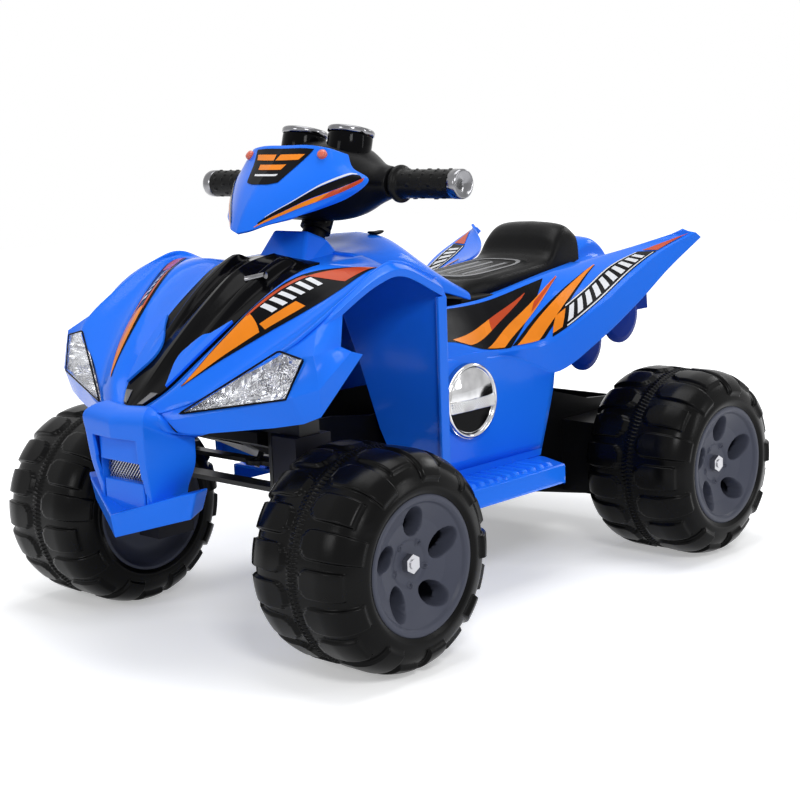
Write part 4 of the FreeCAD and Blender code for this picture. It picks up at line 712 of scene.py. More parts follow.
# %% Drive switch
# Along the key, top and belly are parabolas. Each ring is an oval with square shoulders, drawn in at both ends.
SWITCH_X, SWITCH_Y, SWITCH_Z = 38, 250, 363.3
way = np.linspace(-1, 1, 41)[:, None]
angle = np.linspace(0, 2 * np.pi, 40, endpoint=False)[None]
top, belly = 0.4 + 1.2 * way ** 2, -4.8 + 3.2 * way ** 2
round_off = np.sqrt(np.clip(1 - way ** 6, 0.0004, 1))
key = front(np.stack([SWITCH_X + 7 * round_off * np.sign(np.cos(angle)) * np.abs(np.cos(angle)) ** 0.6,
                      SWITCH_Y + 12.6 * way + 0 * angle,
                      SWITCH_Z + (top + belly) / 2 + (top - belly) / 2 * round_off * np.sin(angle)], -1))
switch = grid_piece("switch_key", key, "rocker", ("drive_switch",), wrap=(False, True),
                    away=front((SWITCH_X, SWITCH_Y, 361)))
dress(switch, "frame_black")
print("switch rings", key.shape)

# %% [markdown]
# The black hood insert lies in the valley between the crests: a glossy panel with a broad spine and two long fins
# that rise towards the dash, like the lips of an air scoop. The panel follows the valley's two rows, and the
# spine and the fins are heights worked out over the panel, so it stays one clean surface.

# %% Hood insert
# Height over the valley = a gentle swell, plus the spine or the fin, whichever is higher.
share = np.linspace(-0.95, 0.95, 81)
stations = curve(FENDER[:2], 14, axis=1)[:, :80]
valley = stations[0][None] + (stations[1] - stations[0])[None] * np.abs(share)[:, None, None]
valley = valley * np.where(share < 0, -1, 1)[:, None, None] ** np.array((1, 0, 0))
along = np.linspace(0, 1, valley.shape[1])[None]
off = np.abs(share)[:, None]
spine = 0.011 * np.exp(-(off / 0.30) ** 2) * ease(along, 0.0, 0.5) * (1 - 0.8 * ease(along, 0.70, 0.97))
spine = spine + 0.0016 * np.exp(-off / 0.05) * ease(along, 0.1, 0.3)
fin = 0.011 * ease(along, 0.28, 0.70) * (1 - ease(along, 0.90, 0.99))
fin = fin * ease(off, 0.34, 0.50) * (1 - ease(off, 0.60, 0.72))
swell = 0.004 + 0.003 * (1 - off ** 2) + np.maximum(spine, fin)
hood_grid = valley + np.stack([np.zeros_like(swell), np.zeros_like(swell), swell], -1)
hood = grid_piece("hood_panel", hood_grid, "chassis", ("hood_insert",), away=BELOW_BODY, wall=0.0034,
                  bevel=0.0008)
dress(hood, "gloss_black")
print("hood grid", hood_grid.shape)

# %% [markdown]
# Printed films and small trim lie on skins that are already there. They could be cut from flat sheets and wrapped
# with a modifier, but a skin's own grid is a better ruler: two fractions, across it and along it, name any place, and
# a hair of lift along the outward direction keeps a film above the paint.

# %% Points on a skin
FILM_LIFT = 0.0008  # how far a film stands above its skin


def on_grid(grid, u, v, lift=0.0):
    """Points on a grid at fractions u and v of its two ways, lifted along its outward direction."""
    rows, cols = grid.shape[:2]
    r, c = np.clip(u, 0, 1) * (rows - 1), np.clip(v, 0, 1) * (cols - 1)
    i, j = np.minimum(r.astype(int), rows - 2), np.minimum(c.astype(int), cols - 2)
    fr, fc = (r - i)[..., None], (c - j)[..., None]
    out = normals(grid)
    if np.sum(out[..., 2]) < 0:
        out = -out
    mixed = []
    for field in (grid, out):
        mixed.append((field[i, j] * (1 - fr) + field[i + 1, j] * fr) * (1 - fc)
                     + (field[i, j + 1] * (1 - fr) + field[i + 1, j + 1] * fr) * fc)
    return mixed[0] + mixed[1] * np.asarray(lift)[..., None]


def film(grid, low, high, along=(0, 1), across=(0, 1), slant=0.0, lift=FILM_LIFT, steps=(60, 9)):
    """A sticker on a skin, between two lines of (u, v) points. along and across take a part of that band, and
    slant shears its ends."""
    s, w = np.meshgrid(np.linspace(*along, steps[0]), np.linspace(*across, steps[1]), indexing="ij")
    s = np.clip(s + slant * (w - 0.5), 0, 1)
    lines = [curve(np.array(line), 12) for line in (low, high)]
    t = np.linspace(0, 1, len(lines[0]))
    u, v = ((1 - w) * np.interp(s, t, lines[0][:, k]) + w * np.interp(s, t, lines[1][:, k]) for k in (0, 1))
    return on_grid(grid, u, v, np.full(u.shape, lift))


def stickers(name, films, body, look, away):
    """Stickers of one colour, on the left side and mirrored on the right side."""
    parts = []
    for g in films:
        parts.append((g, quads_of(g, away=away)))
        parts.append((flip(g), quads_of(flip(g), away=np.asarray(away, float) * (-1, 1, 1))))
    thing = piece(name, parts, body)
    dress(thing, look)
    return thing


print("films stand", FILM_LIFT * 1000, "mm above their skin")

# %% [markdown]
# Low down by the lamps the blue fender reaches over the black panel in one rounded lobe each side. The lobe is a patch
# of the panel's own grid between two lines, lifted off it and given a wall, so it follows the panel exactly.

# %% Hood lobes
LOBE_OUT = [(0.985, 0.18 + 0.055 * k) for k in range(7)]
LOBE_IN = ((0.95, 0.185), (0.66, 0.246), (0.45, 0.300), (0.42, 0.350), (0.56, 0.405), (0.80, 0.460), (0.96, 0.515))
lobe_grid = film(hood_grid[40:], LOBE_OUT, LOBE_IN, lift=0.0040, steps=(50, 24))
lobes = pair_piece("hood_lobes", lobe_grid, "chassis", away=BELOW_BODY, wall=0.0035, bevel=0.0010)
dress(lobes, "body_blue")
print("lobe grid", lobe_grid.shape)

# %% [markdown]
# At the nose the panel's edges are open mesh, and a small peg stands out on its left half. A picture of a mesh would
# be flat, so it is drawn as thin crossing wires, each a four-sided bead laid on the panel.

# %% Hood mesh and peg
parts = []
for sign in (1, -1):
    for k in range(-8, 9):
        for lean in (1, -1):
            a = np.clip(np.array((k / 9, k / 9 + 0.9)), 0, 1)
            b = (a - k / 9) / 0.9
            b = b if lean > 0 else 1 - b
            ends = on_grid(hood_grid, 0.5 + sign * (0.28 + 0.19 * b), 0.015 + 0.115 * a, np.full(2, 0.0010))
            if np.linalg.norm(ends[1] - ends[0]) > 0.003:
                parts.append(bead(ends, 0.0005, 4))
mesh_strips = piece("hood_mesh", parts, "chassis", smooth=False)
dress(mesh_strips, "dark_chrome")
peg_foot = on_grid(hood_grid, np.array([0.70]), np.array([0.72]), np.array([0.006]))[0]
peg_line = np.array((peg_foot, peg_foot + (0.030, 0.006, 0.006)))
peg = piece("hood_peg", [bead(peg_line, 0.0040, 24)], "chassis")
finish_edges(peg, 0, 0.0006)
dress(peg, "dark_chrome")
print("mesh wires", len(parts))

# %% [markdown]
# The fender's stripe is a printed film: a black band that follows the crest, an orange point at its front, a row of
# slanted white bars, and a red tail. It is drawn on the fender's own grid, a hair above the skin.

# %% Fender stripes
BAND_LOW = ((0.555, 0.135), (0.630, 0.285), (0.700, 0.470), (0.728, 0.600), (0.722, 0.800))
BAND_HIGH = ((0.540, 0.137), (0.470, 0.275), (0.470, 0.430), (0.530, 0.590), (0.712, 0.805))


def on_band(*place, **more):
    """A film on the fender, as a part of the band between its two lines."""
    return film(fender_half, BAND_LOW, BAND_HIGH, *place, **more)


points = [on_band((0.02, 0.40), (0.14, 0.86), 0.10, 0.0012), on_band((0.40, 0.56), (0.12, 0.34), 0.05, 0.0012)]
tails = [on_band((0.76, 0.97), (0.16, 0.84), -0.06, 0.0012), on_band((0.42, 0.74), (0.80, 0.90), 0.0, 0.0012)]
bars = [on_band((0.46 + 0.048 * k, 0.485 + 0.048 * k), (0.40, 0.74), 0.05, 0.0016, (6, 9)) for k in range(6)]
stickers("fender_band", [on_band(steps=(60, 19))], "chassis", "film_black", BELOW_BODY)
stickers("fender_points", points, "chassis", "film_orange", BELOW_BODY)
stickers("fender_tails", tails, "chassis", "film_red", BELOW_BODY)
stickers("fender_bars", bars, "chassis", "film_white", BELOW_BODY)
print("fender stripes", 1 + len(points) + len(tails) + len(bars), "films a side")

# %% [markdown]
# The nose mask is a narrow face that hangs below the hood. Its upper part bends forward from the fenders' front
# edge to a ledge, and under the ledge is a tall recess. The face is a smooth skin with the recess left out of it:
# leaving faces out is simpler than a boolean cut, and keeps the grid clean.

# %% Nose mask
MASK = front((
    ((0, -149, 177), (0, -158, 184), (0, -176, 178), (0, -185, 168), (0, -184, 150), (0, -180, 112),
     (0, -172, 80), (0, -168, 57)),
    ((37, -148, 185), (42, -157, 186), (52, -171, 181), (59, -180, 171), (57, -179, 150), (54, -175, 112),
     (50, -168, 80), (49, -164, 58)),
    ((53, -148, 178), (55, -155, 179), (61, -158, 171), (62, -149, 156), (72, -113, 145), (71, -114, 112),
     (57, -116, 80), (54, -114, 58)),
))
WINDOW_HALF, WINDOW_LOW, WINDOW_HIGH = 0.042, AXLE + 0.062, AXLE + 0.148


def outside_window(centres):
    """True for face centres that lie outside the recess."""
    across, height = np.abs(centres[:, 0]), centres[:, 2]
    return ~((across < WINDOW_HALF) & (height > WINDOW_LOW) & (height < WINDOW_HIGH))


mask_grid = mirrored(creased(creased(MASK, 18, (4,), axis=1), 28, (1,)))
quads = quads_of(mask_grid, away=(0, -0.38, 0.24))
quads = quads[outside_window(mask_grid.reshape(-1, 3)[quads].mean(1))]
mask = piece("nose_mask", [(mask_grid, quads)], "chassis", ("front_mask",))
finish_edges(mask, 0.004, 0.001)
dress(mask, "body_blue")
print("mask grid", mask_grid.shape)

# %% [markdown]
# The recess is lined with blue walls, and an upper and a lower blue block fill most of it, with a gap for the wire
# mesh between them. All of these are boxes with small rounded edges.

# %% Mask recess
def block(low, high):
    """A box between two corners, as points and faces."""
    (x0, y0, z0), (x1, y1, z1) = low, high
    points = [(x0, y0, z0), (x1, y0, z0), (x1, y1, z0), (x0, y1, z0),
              (x0, y0, z1), (x1, y0, z1), (x1, y1, z1), (x0, y1, z1)]
    return np.array(points), [(0, 3, 2, 1), (4, 5, 6, 7), (0, 1, 5, 4), (1, 2, 6, 5), (2, 3, 7, 6), (3, 0, 4, 7)]


deep, shallow, wall = FRONT - 0.146, FRONT - 0.1690, 0.003
w, low, high = WINDOW_HALF, WINDOW_LOW, WINDOW_HIGH
BLOCK_LOW, BLOCK_HIGH = AXLE + 0.092, AXLE + 0.117
recess = [block((-w - wall, shallow - 0.004, high), (w + wall, deep, high + wall)),
          block((-w - wall, shallow, low), (-w, deep, high)), block((w, shallow, low), (w + wall, deep, high)),
          block((-w + 0.004, shallow, low - 0.010), (w - 0.004, deep, BLOCK_LOW)),
          block((-w + 0.004, shallow - 0.004, BLOCK_HIGH), (w - 0.004, deep, high))]
recess = piece("mask_recess", recess, "chassis", smooth=False)
finish_edges(recess, 0, 0.0030)
dress(recess, "body_blue")
print("recess gap", round((BLOCK_HIGH - BLOCK_LOW) * 1000, 1), "mm")

# %% [markdown]
# At the mask's foot a lip runs out to a prow. It has flat faces and sharp turns, so it is a small cage of points with
# its faces listed one by one, mirrored across the bike, and rounded a little at the edges.

# %% Chin lip
LIP = front((((0, -188, 24), (80, -151, 47), (94, -145, 51), (106, -144, 86), (88, -155, 82), (0, -193, 54)),
             ((0, -150, 40), (76, -124, 56), (86, -118, 58), (96, -116, 86), (82, -128, 82), (0, -150, 58))))
lip = LIP.reshape(-1, 3)
lip_faces = [(0, 1, 4, 5), (1, 2, 3, 4), (6, 11, 10, 7), (7, 10, 9, 8)]
lip_faces += [(i, i + 6, i + 7, i + 1) for i in range(5)]
chin = piece("chin_lip", [(lip, lip_faces), (flip(lip), [f[::-1] for f in lip_faces])], "chassis",
             smooth=False)
finish_edges(chin, 0, 0.0022)
dress(chin, "body_blue")
print("chin lip", len(chin.data.polygons), "faces")

# %% [markdown]
# The grille is a punched sheet of small diamonds. Two families of slanted wires that cross give the same look
# with few faces, because each wire is a four-sided bead.

# %% Diamond mesh
def diamond_mesh(corner, one, two, pitch, radius):
    """Slanted wires over a four-cornered patch, both ways: across = start plus or minus a share of the height,
    kept where it lies on the patch. one and two are the patch's edge vectors."""
    corner, one, two = (np.asarray(v, float) for v in (corner, one, two))
    wide, tall = np.linalg.norm(one), np.linalg.norm(two)
    h = np.linspace(0, 1, 9)
    parts = []
    for slope in (1, -1):
        for start in np.arange(-tall * 0.6, wide + tall * 0.6, pitch):
            x = start + slope * (h - 0.5) * tall * 0.9
            on = np.flatnonzero((x >= 0) & (x <= wide))
            if len(on) > 1:
                ends = on[[0, -1]]
                parts.append(bead(corner + one * (x[ends, None] / wide) + two * h[ends, None], radius, 4))
    return parts


mesh_y = FRONT - 0.1590
wires = diamond_mesh((-w, mesh_y, BLOCK_LOW - 0.002), (2 * w, 0, 0), (0, 0, BLOCK_HIGH - BLOCK_LOW + 0.004),
                     pitch=0.0052, radius=0.0006)
grille = piece("grille_wires", wires, "chassis", ("grille_mesh",), smooth=False)
dress(grille, "steel")
sheet = block((-w, mesh_y + 0.003, BLOCK_LOW - 0.003), (w, mesh_y + 0.006, BLOCK_HIGH + 0.003))
sieve = piece("grille_back", [sheet], "chassis", smooth=False)
dress(sieve, "frame_black")
print("grille wires", len(wires))

# %% [markdown]
# The rear body has a wing each side that sweeps up and out to a point behind the rear wheels. The wing's two bands
# meet at a crease that runs to the tip, and below its front half the moulding goes on as a smooth hip down to the
# footrest. Both are skins through rows of points, with a corner at the crease.

# %% Wings
WING = rear((
    ((106, -470, 260), (106, -373, 257), (104, -299, 257), (103, -243, 261), (103, -175, 272), (103, -106, 281),
     (110, -30, 292), (150, 34, 308), (210, 80, 330)),
    ((139, -470, 214), (139, -373, 211), (139, -299, 190), (146, -243, 186), (160, -175, 193), (190, -106, 236),
     (205, -27, 281), (209, 34, 306), (219, 100, 325)),
    ((140, -470, 193), (140, -373, 191), (140, -299, 184), (143, -243, 178), (160, -175, 146), (190, -106, 186),
     (206, -27, 236), (213, 37, 277), (220, 112, 317)),
))
wing_grid = creased(curve(WING, 8, axis=1), 10, (1,))
wings = pair_piece("wings", wing_grid, "chassis", away=(0.0, 0.2, 0.3))
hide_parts("rear_body")
dress(wings, "body_blue")
# The hip hangs from the wing's lower edge.
HIP = rear((((140, -470, 193), (140, -373, 191), (140, -299, 184), (143, -243, 178), (160, -175, 146)),
            ((140.4, -470, 140), (140.4, -373, 138), (140.4, -299, 135), (142, -240, 125), (149, -168, 112)),
            ((140.4, -470, 36), (140.4, -373, 36), (140.4, -299, 36), (140.5, -240, 36), (140.6, -184, 36))))
hips = pair_piece("hips", curve(curve(HIP, 8, axis=1), 8), "chassis", away=(0.0, 0.10, 0.2),
                  wall=0.001, bevel=0)
dress(hips, "body_blue")
print("wing grid", wing_grid.shape)

# %% [markdown]
# The wing's stripes are printed film as on the fender: a black field with three blades in orange and red, then a
# barred strip in black and white that runs out along the crease to a red tip. Each film lies between two lines on the
# wing's grid, and a part that lies on top of another is lifted a little higher.

# %% Wing stripes
INSIDE_TAIL = (0, 0.2, 0.3)
FIELD = (((0.47, 0.10), (0.47, 0.22), (0.47, 0.36)), ((0.03, 0.10), (0.03, 0.34), (0.03, 0.58)))
ONE = (((0.46, 0.20), (0.30, 0.31), (0.09, 0.49)), ((0.46, 0.12), (0.22, 0.28), (0.08, 0.49)))
TWO = (((0.46, 0.335), (0.33, 0.42), (0.07, 0.62)), ((0.46, 0.26), (0.25, 0.41), (0.06, 0.62)))
THREE = (((0.46, 0.46), (0.36, 0.53), (0.14, 0.73)), ((0.46, 0.385), (0.28, 0.51), (0.13, 0.73)))
STRIP = (((0.475, 0.50), (0.47, 0.62), (0.45, 0.74), (0.44, 0.855)),
         ((0.33, 0.535), (0.30, 0.64), (0.25, 0.74), (0.24, 0.84)))
TIP = (((0.44, 0.86), (0.42, 0.92), (0.36, 0.985)), ((0.26, 0.85), (0.31, 0.92), (0.345, 0.985)))


def wing_film(lines, *place, **more):
    """A film on the wing, as a part of the band between two lines."""
    return film(wing_grid, lines[0], lines[1], *place, **more)


field = [wing_film(FIELD, steps=(60, 30)), wing_film(STRIP), wing_film(THREE, (0, 1), (-0.25, 1.25))]
blades = [wing_film(ONE, (0, 0.55), (0.05, 0.95), 0.1, 0.0013), wing_film(TWO, lift=0.0013),
          wing_film(THREE, lift=0.0013), wing_film(STRIP, (0.0, 0.10), (0.15, 0.85), 0.05, 0.0013)]
ends = [wing_film(ONE, (0.55, 1), (0.05, 0.95), 0.1, 0.0013),
        wing_film(TWO, (0.70, 1), (0.2, 0.8), 0.1, 0.0017), wing_film(TIP, lift=0.0013)]
stickers("wing_field", field, "chassis", "film_black", INSIDE_TAIL)
stickers("wing_orange", blades, "chassis", "film_orange", INSIDE_TAIL)
stickers("wing_red", ends, "chassis", "film_red", INSIDE_TAIL)
bars = [wing_film(STRIP, (0.14 + 0.080 * k, 0.185 + 0.080 * k), (0.20, 0.80), 0.05, 0.0014, (6, 9))
        for k in range(10)]
edges = [wing_film(STRIP, (0.12, 0.97), cut, 0.0, 0.0014) for cut in ((0.03, 0.09), (0.91, 0.97))]
stickers("wing_bars", bars + edges, "chassis", "film_white", INSIDE_TAIL)
print("wing stripes", len(field + blades + ends + bars + edges), "films a side")

# %% [markdown]
# An upright panel stands over each footrest, a deck lies under the seat, and the body ends in a rounded tail. The
# panels are flat, so plates with rounded edges are enough. The deck is a grid that bends along the bike only, and the
# tail is a skin through rows of points.

# %% Side panels, deck and tail
PANEL = rear([(136, y, z) for y, z in ((-470, 25), (-186, 25), (-152, 127), (-165, 165), (-243, 190), (-470, 200))])
RETURN = rear([(96, y, z) for y, z in ((-190, 25), (-186, 25), (-152, 127), (-156, 127))])
parts = []
for sign in (1, -1):
    parts.append(plate(PANEL * (sign, 1, 1), (0.004 * sign, 0, 0)))
    parts.append(plate(RETURN * (sign, 1, 1), (0.040 * sign, 0, 0)))
panels = piece("side_panels", parts, "chassis", smooth=False)
finish_edges(panels, 0, 0.0015)
dress(panels, "body_blue")
DECK = ((-299, 248), (-243, 254), (-175, 264), (-106, 275), (-20, 287))
deck_grid = np.stack([rear([(x, y, z) for y, z in DECK]) for x in np.linspace(-105, 105, 8)])
deck = grid_piece("seat_deck", curve(deck_grid, 4, axis=1), "chassis", away=(0, 0.25, 0.2),
                  wall=0.004, bevel=0.001)
dress(deck, "body_blue")
TAIL = rear((
    ((0, -30, 286), (0, 4, 312), (0, 32, 321), (0, 56, 316), (0, 74, 298), (0, 86, 256)),
    ((50, -30, 286), (50, 4, 311), (50, 32, 320), (50, 56, 315), (50, 74, 297), (50, 86, 255)),
    ((68, -30, 284), (68, 4, 304), (68, 32, 312), (68, 56, 307), (68, 73, 290), (68, 85, 252)),
    ((78, -30, 276), (78, 0, 286), (78, 32, 290), (78, 60, 286), (78, 80, 276), (78, 92, 248)),
    ((122, -30, 260), (122, 0, 270), (122, 40, 276), (122, 80, 272), (118, 100, 262), (114, 112, 240)),
))
tail = grid_piece("tail", mirrored(curve(curve(TAIL, 6, axis=1), 6)), "chassis",
                  away=(0, 0.38, 0.36), wall=0.004, bevel=0.001)
dress(tail, "body_blue")
print("deck grid", deck_grid.shape, "tail rows", TAIL.shape)

# %% [markdown]
# Under each wing hangs a skirt with two rounded lobes, painted a darker blue for the shade that the wing casts on it.
# The skirt is a flat plate, and each lobe is turned: a shallow dome over a disc.

# %% Tail skirts
SKIRT = rear([(114, y, z) for y, z in ((-100, 270), (-88, 170), (28, 204), (116, 204), (112, 262), (60, 280))])
parts = []
for sign in (1, -1):
    parts.append(plate(SKIRT * (sign, 1, 1), (0.004 * sign, 0, 0)))
    for y, z, radius in ((-46, 170, 0.042), (46, 202, 0.044)):
        centre = rear((114, y, z)) * (sign, 1, 1)
        profile = [(0, 0.0001), (0, radius), (0.003, radius), (0.006, radius * 0.8), (0.007, radius * 0.4),
                   (0.007, 0.0001)]
        g = ring_grid(profile, centre, (sign, 0, 0), 64)
        parts.append((g, quads_of(g, (False, True), away=centre + np.array((0.003 * sign, 0, 0)))))
skirts = piece("tail_skirts", parts, "chassis", smooth=False)
# The skirts wear the darker blue as painted shade.
dress(skirts, "painted_shade_blue")
print("skirts", len(skirts.data.polygons), "faces")

# %% [markdown]
# The seat is a hard moulded pad: flat over most of its length, with rounded shoulders and a back that kicks up.
# Its top carries pressed grooves in plain rounded shapes. The grooves are part of the surface, so they are
# worked out as a dent wherever a point lies close to a rounded outline.

# %% Seat
# Along the seat: place, height of the top and height of the lower edge. Across it: share of the half width, and share
# of the drop from the top to the lower edge.
SEAT_LINE = np.array(((-262, 276, 240), (-250, 281, 242), (-222, 286, 246), (-170, 290, 254), (-115, 294, 264),
                      (-80, 298, 269), (-64, 308, 272), (-50, 330, 274), (-34, 344, 277), (-16, 347, 280),
                      (0, 336, 282)))
SEAT_HALF = 74
line = curve(SEAT_LINE, 14)
SECTION = curve(np.array(((0, 0), (0.45, 0.02), (0.75, 0.07), (0.90, 0.18), (0.975, 0.40), (1.0, 0.80),
                          (1.0, 1.0))), 6)
x = np.concatenate([-SECTION[:0:-1, 0], SECTION[:, 0]])
drop = np.concatenate([SECTION[:0:-1, 1], SECTION[:, 1]])
taper = 0.90 + 0.10 * ease(line[:, 0], -262, -180)
seat_grid = np.zeros((len(x), len(line), 3))
seat_grid[..., 0] = SEAT_HALF * x[:, None] * taper[None]
seat_grid[..., 1] = line[None, :, 0]
seat_grid[..., 2] = line[None, :, 1] - drop[:, None] * (line[None, :, 1] - line[None, :, 2])


def rounded_box_distance(px, py, cx, cy, hx, hy, corner):
    """Distance from a point to a rounded rectangle's outline, positive outside."""
    qx, qy = np.abs(px - cx) - hx + corner, np.abs(py - cy) - hy + corner
    return np.hypot(np.maximum(qx, 0), np.maximum(qy, 0)) + np.minimum(np.maximum(qx, qy), 0) - corner


GROOVE_Y, SLOT_PLACES = -164, (-26, 0, 26)
outline = rounded_box_distance(seat_grid[..., 0], seat_grid[..., 1], 0, GROOVE_Y, 58, 78, 32)
dent = 1.6 * np.exp(-(outline / 2.5) ** 2)
for cx in SLOT_PLACES:
    slot = rounded_box_distance(seat_grid[..., 0], seat_grid[..., 1], cx, GROOVE_Y, 6, 54, 6)
    dent = dent + 1.8 * (1 - ease(slot, -3, 1))
seat_grid[..., 2] -= dent
INSIDE_SEAT = (0, 0.2, 0.38)
seat = grid_piece("seat_pad", rear(seat_grid), "chassis", ("seat",), away=INSIDE_SEAT, wall=0.004,
                  bevel=0.001)
dress(seat, "seat_black")
print("seat grid", seat_grid.shape)

# %% [markdown]
# On the seat a grey print fills the three slots and follows the ring inside its groove. The print lies on the seat's
# own grid, so it dips into the slots with it. The ring is a rounded square: the square roots of a circle's two parts.
# A plain black block under the seat's front end fills the gap to the tank.

# %% Seat print and base
def seat_film(x_mm, y_mm):
    """A printed patch on the seat's top, from places across and along it."""
    narrow = SEAT_HALF * np.interp(y_mm, line[:, 0], taper)
    u = np.interp(x_mm / narrow, x, np.linspace(0, 1, len(x)))
    v = np.interp(y_mm, line[:, 0], np.linspace(0, 1, len(line)))
    return on_grid(rear(seat_grid), u, v, np.full(u.shape, 0.0007))


turn, out = np.meshgrid(np.linspace(0, 2 * np.pi, 121), np.linspace(0.91, 1.0, 5), indexing="ij")
c, s = np.cos(turn), np.sin(turn)
prints = [seat_film(52 * out * np.sign(c) * np.sqrt(np.abs(c)),
                    GROOVE_Y + 72 * out * np.sign(s) * np.sqrt(np.abs(s)))]
for cx in SLOT_PLACES:
    a, b = np.meshgrid(np.linspace(-4.6, 4.6, 7), np.linspace(-50, 50, 41), indexing="ij")
    prints.append(seat_film(cx + a, GROOVE_Y + b))
seat_print = piece("seat_print", [(g, quads_of(g, away=INSIDE_SEAT)) for g in prints], "chassis")
dress(seat_print, "film_grey")
base = piece("seat_base", [block(rear((-97, -300, 225)), rear((97, -228, 262)))], "chassis",
             smooth=False)
finish_edges(base, 0, 0.003)
dress(base, "frame_black")
print("seat prints", len(prints))

# %% [markdown]
# The handlebar is a steel tube inside a rounded black moulding that is fat in the middle and thin at the arms.
# The moulding is a set of closed rings of points across the bike, with a smooth surface through them and the two
# ends closed.

# %% Handlebar moulding
COVER = front((
    ((0, 152, 388), (0, 128, 436), (0, 160, 478), (0, 206, 486), (0, 246, 470), (0, 250, 424), (0, 224, 386)),
    ((52, 158, 390), (50, 134, 436), (52, 164, 474), (52, 206, 481), (52, 240, 466), (52, 244, 424), (52, 220, 390)),
    ((92, 186, 405), (94, 172, 432), (94, 186, 452), (94, 206, 458), (94, 224, 450), (94, 226, 428), (94, 214, 406)),
    ((122, 190, 415), (122, 182, 430), (122, 189, 446), (122, 203, 452), (122, 218, 445), (122, 221, 430),
     (122, 212, 415)),
))
# Each ring is closed by repeating its first and last points, and the curve keeps one full turn of it.
STEPS = 6
ROUND = STEPS * COVER.shape[1]
rings = mirrored(COVER)
closed = np.concatenate([rings[:, -2:], rings, rings[:, :3]], axis=1)
closed = curve(closed, STEPS, axis=1)[:, 2 * STEPS:2 * STEPS + ROUND]
bar_grid = curve(closed, STEPS)
first_end, last_end = list(range(ROUND)), list(range((len(bar_grid) - 1) * ROUND, len(bar_grid) * ROUND))
faces = quads_of(bar_grid, (False, True), away=front((0, 195, 435))).tolist()
faces += [first_end, last_end[::-1]]
bar_cover = piece("bar_moulding", [(bar_grid, faces)], "handlebar", ("handlebar_cover",))
finish_edges(bar_cover, 0, 0.002)
dress(bar_cover, "frame_black")
COLUMN_FOOT, COLUMN_WAY = front((0, 173, 370)), np.array((0, 0.447, 0.894))
g = ring_grid([(0.004, 0.0140), (0.004, 0.0205), (0.010, 0.0210), (0.040, 0.0200)], COLUMN_FOOT, COLUMN_WAY, 48)
sleeve_faces = quads_of(g, (False, True), away=COLUMN_FOOT + COLUMN_WAY * 0.02)
sleeve = piece("column_sleeve", [(g, sleeve_faces)], "handlebar")
finish_edges(sleeve, 0, 0.001)
dress(sleeve, "gloss_black")
print("bar moulding", bar_grid.shape)

# %% [markdown]
# In front of it sits the cowl, a pointed shield that sweeps back at its sides, with two small red lamps. It is one
# skin through five rows, mirrored, and the lamps are turned domes set on it.

# %% Cowl
COWL = front((
    ((0, 128, 484), (0, 104, 462), (0, 76, 436), (0, 52, 408), (0, 34, 377)),
    ((40, 129, 484), (40, 110, 462), (38, 84, 436), (30, 62, 410), (20, 42, 381)),
    ((70, 134, 480), (76, 122, 460), (74, 102, 435), (60, 80, 411), (40, 58, 388)),
    ((82, 146, 474), (92, 138, 458), (106, 130, 436), (92, 108, 414), (66, 78, 396)),
    ((86, 156, 470), (98, 152, 453), (121, 156, 437), (104, 134, 416), (80, 100, 402)),
))
cowl_grid = mirrored(curve(curve(COWL, 8, axis=1), 6))
INSIDE_COWL = front((0, 200, 420))
cowl = grid_piece("cowl_shield", cowl_grid, "handlebar", ("handlebar_cowl",), away=INSIDE_COWL,
                  wall=0.004, bevel=0.0014)
dress(cowl, "body_blue")
STUD = [(-0.002, 0.0064), (0.003, 0.0064), (0.0048, 0.0052), (0.0056, 0.0030), (0.0058, 0.0001)]
parts = []
for sign in (1, -1):
    way = np.array((0.15 * sign, -0.75, 0.64))
    spot = on_grid(cowl_grid, np.array([0.5 + 0.228 * sign]), np.array([0.12]), np.array([0.0]))[0]
    g = ring_grid(STUD, spot, way, 32)
    parts.append((g, quads_of(g, (False, True), away=spot - way * 0.02)))
studs = piece("cowl_lamps", parts, "handlebar", ("cowl_studs",))
dress(studs, "stud_red")
print("cowl grid", cowl_grid.shape)

# %% [markdown]
# The cowl wears the same kind of film: a plain black shield with slanted bars in the middle, and a sweep of black,
# orange, red and white along each lower edge.

# %% Cowl stripes
SHIELD = (((0.50, 0.50), (0.55, 0.50), (0.595, 0.48)), ((0.50, 0.05), (0.59, 0.05), (0.675, 0.05)))
SWEEP = (((0.640, 0.985), (0.745, 0.925), (0.810, 0.825), (0.895, 0.650), (0.985, 0.480)),
         ((0.620, 0.960), (0.715, 0.740), (0.785, 0.480), (0.895, 0.370), (0.985, 0.400)))


def cowl_film(lines, *place, **more):
    """A film on the cowl, as a part of the band between two lines."""
    return film(cowl_grid, lines[0], lines[1], *place, **more)


COWL_FILMS = {
    "black": [cowl_film(SHIELD, steps=(40, 30)), cowl_film(SWEEP, (0.04, 0.93), (0.45, 0.86))],
    "orange": [cowl_film(SWEEP, (0.0, 0.62), (0.08, 0.40), 0.1, 0.0011),
               cowl_film(SHIELD, (0.0, 0.80), (0.62, 0.80), 0.25, 0.0013),
               cowl_film(SHIELD, (0.0, 0.55), (0.36, 0.50), 0.25, 0.0013)],
    "red": [cowl_film(SWEEP, (0.62, 0.98), (0.08, 0.42), 0.1, 0.0011)],
    "white": [cowl_film(SWEEP, (0.10, 0.90), (0.88, 0.96), 0.0, 0.0011),
              cowl_film(SHIELD, (0.0, 0.62), (0.20, 0.25), 0.2, 0.0013)],
}
for colour, films in COWL_FILMS.items():
    stickers("cowl_" + colour, films, "handlebar", "film_" + colour, INSIDE_COWL)
print("cowl stripes", sum(len(films) for films in COWL_FILMS.values()), "films a side")

# %% [markdown]
# Two gauge pods stand on the moulding: short black cups with a bright ring and a plain dial under a clear face.
# The dial carries only tick marks and a needle.

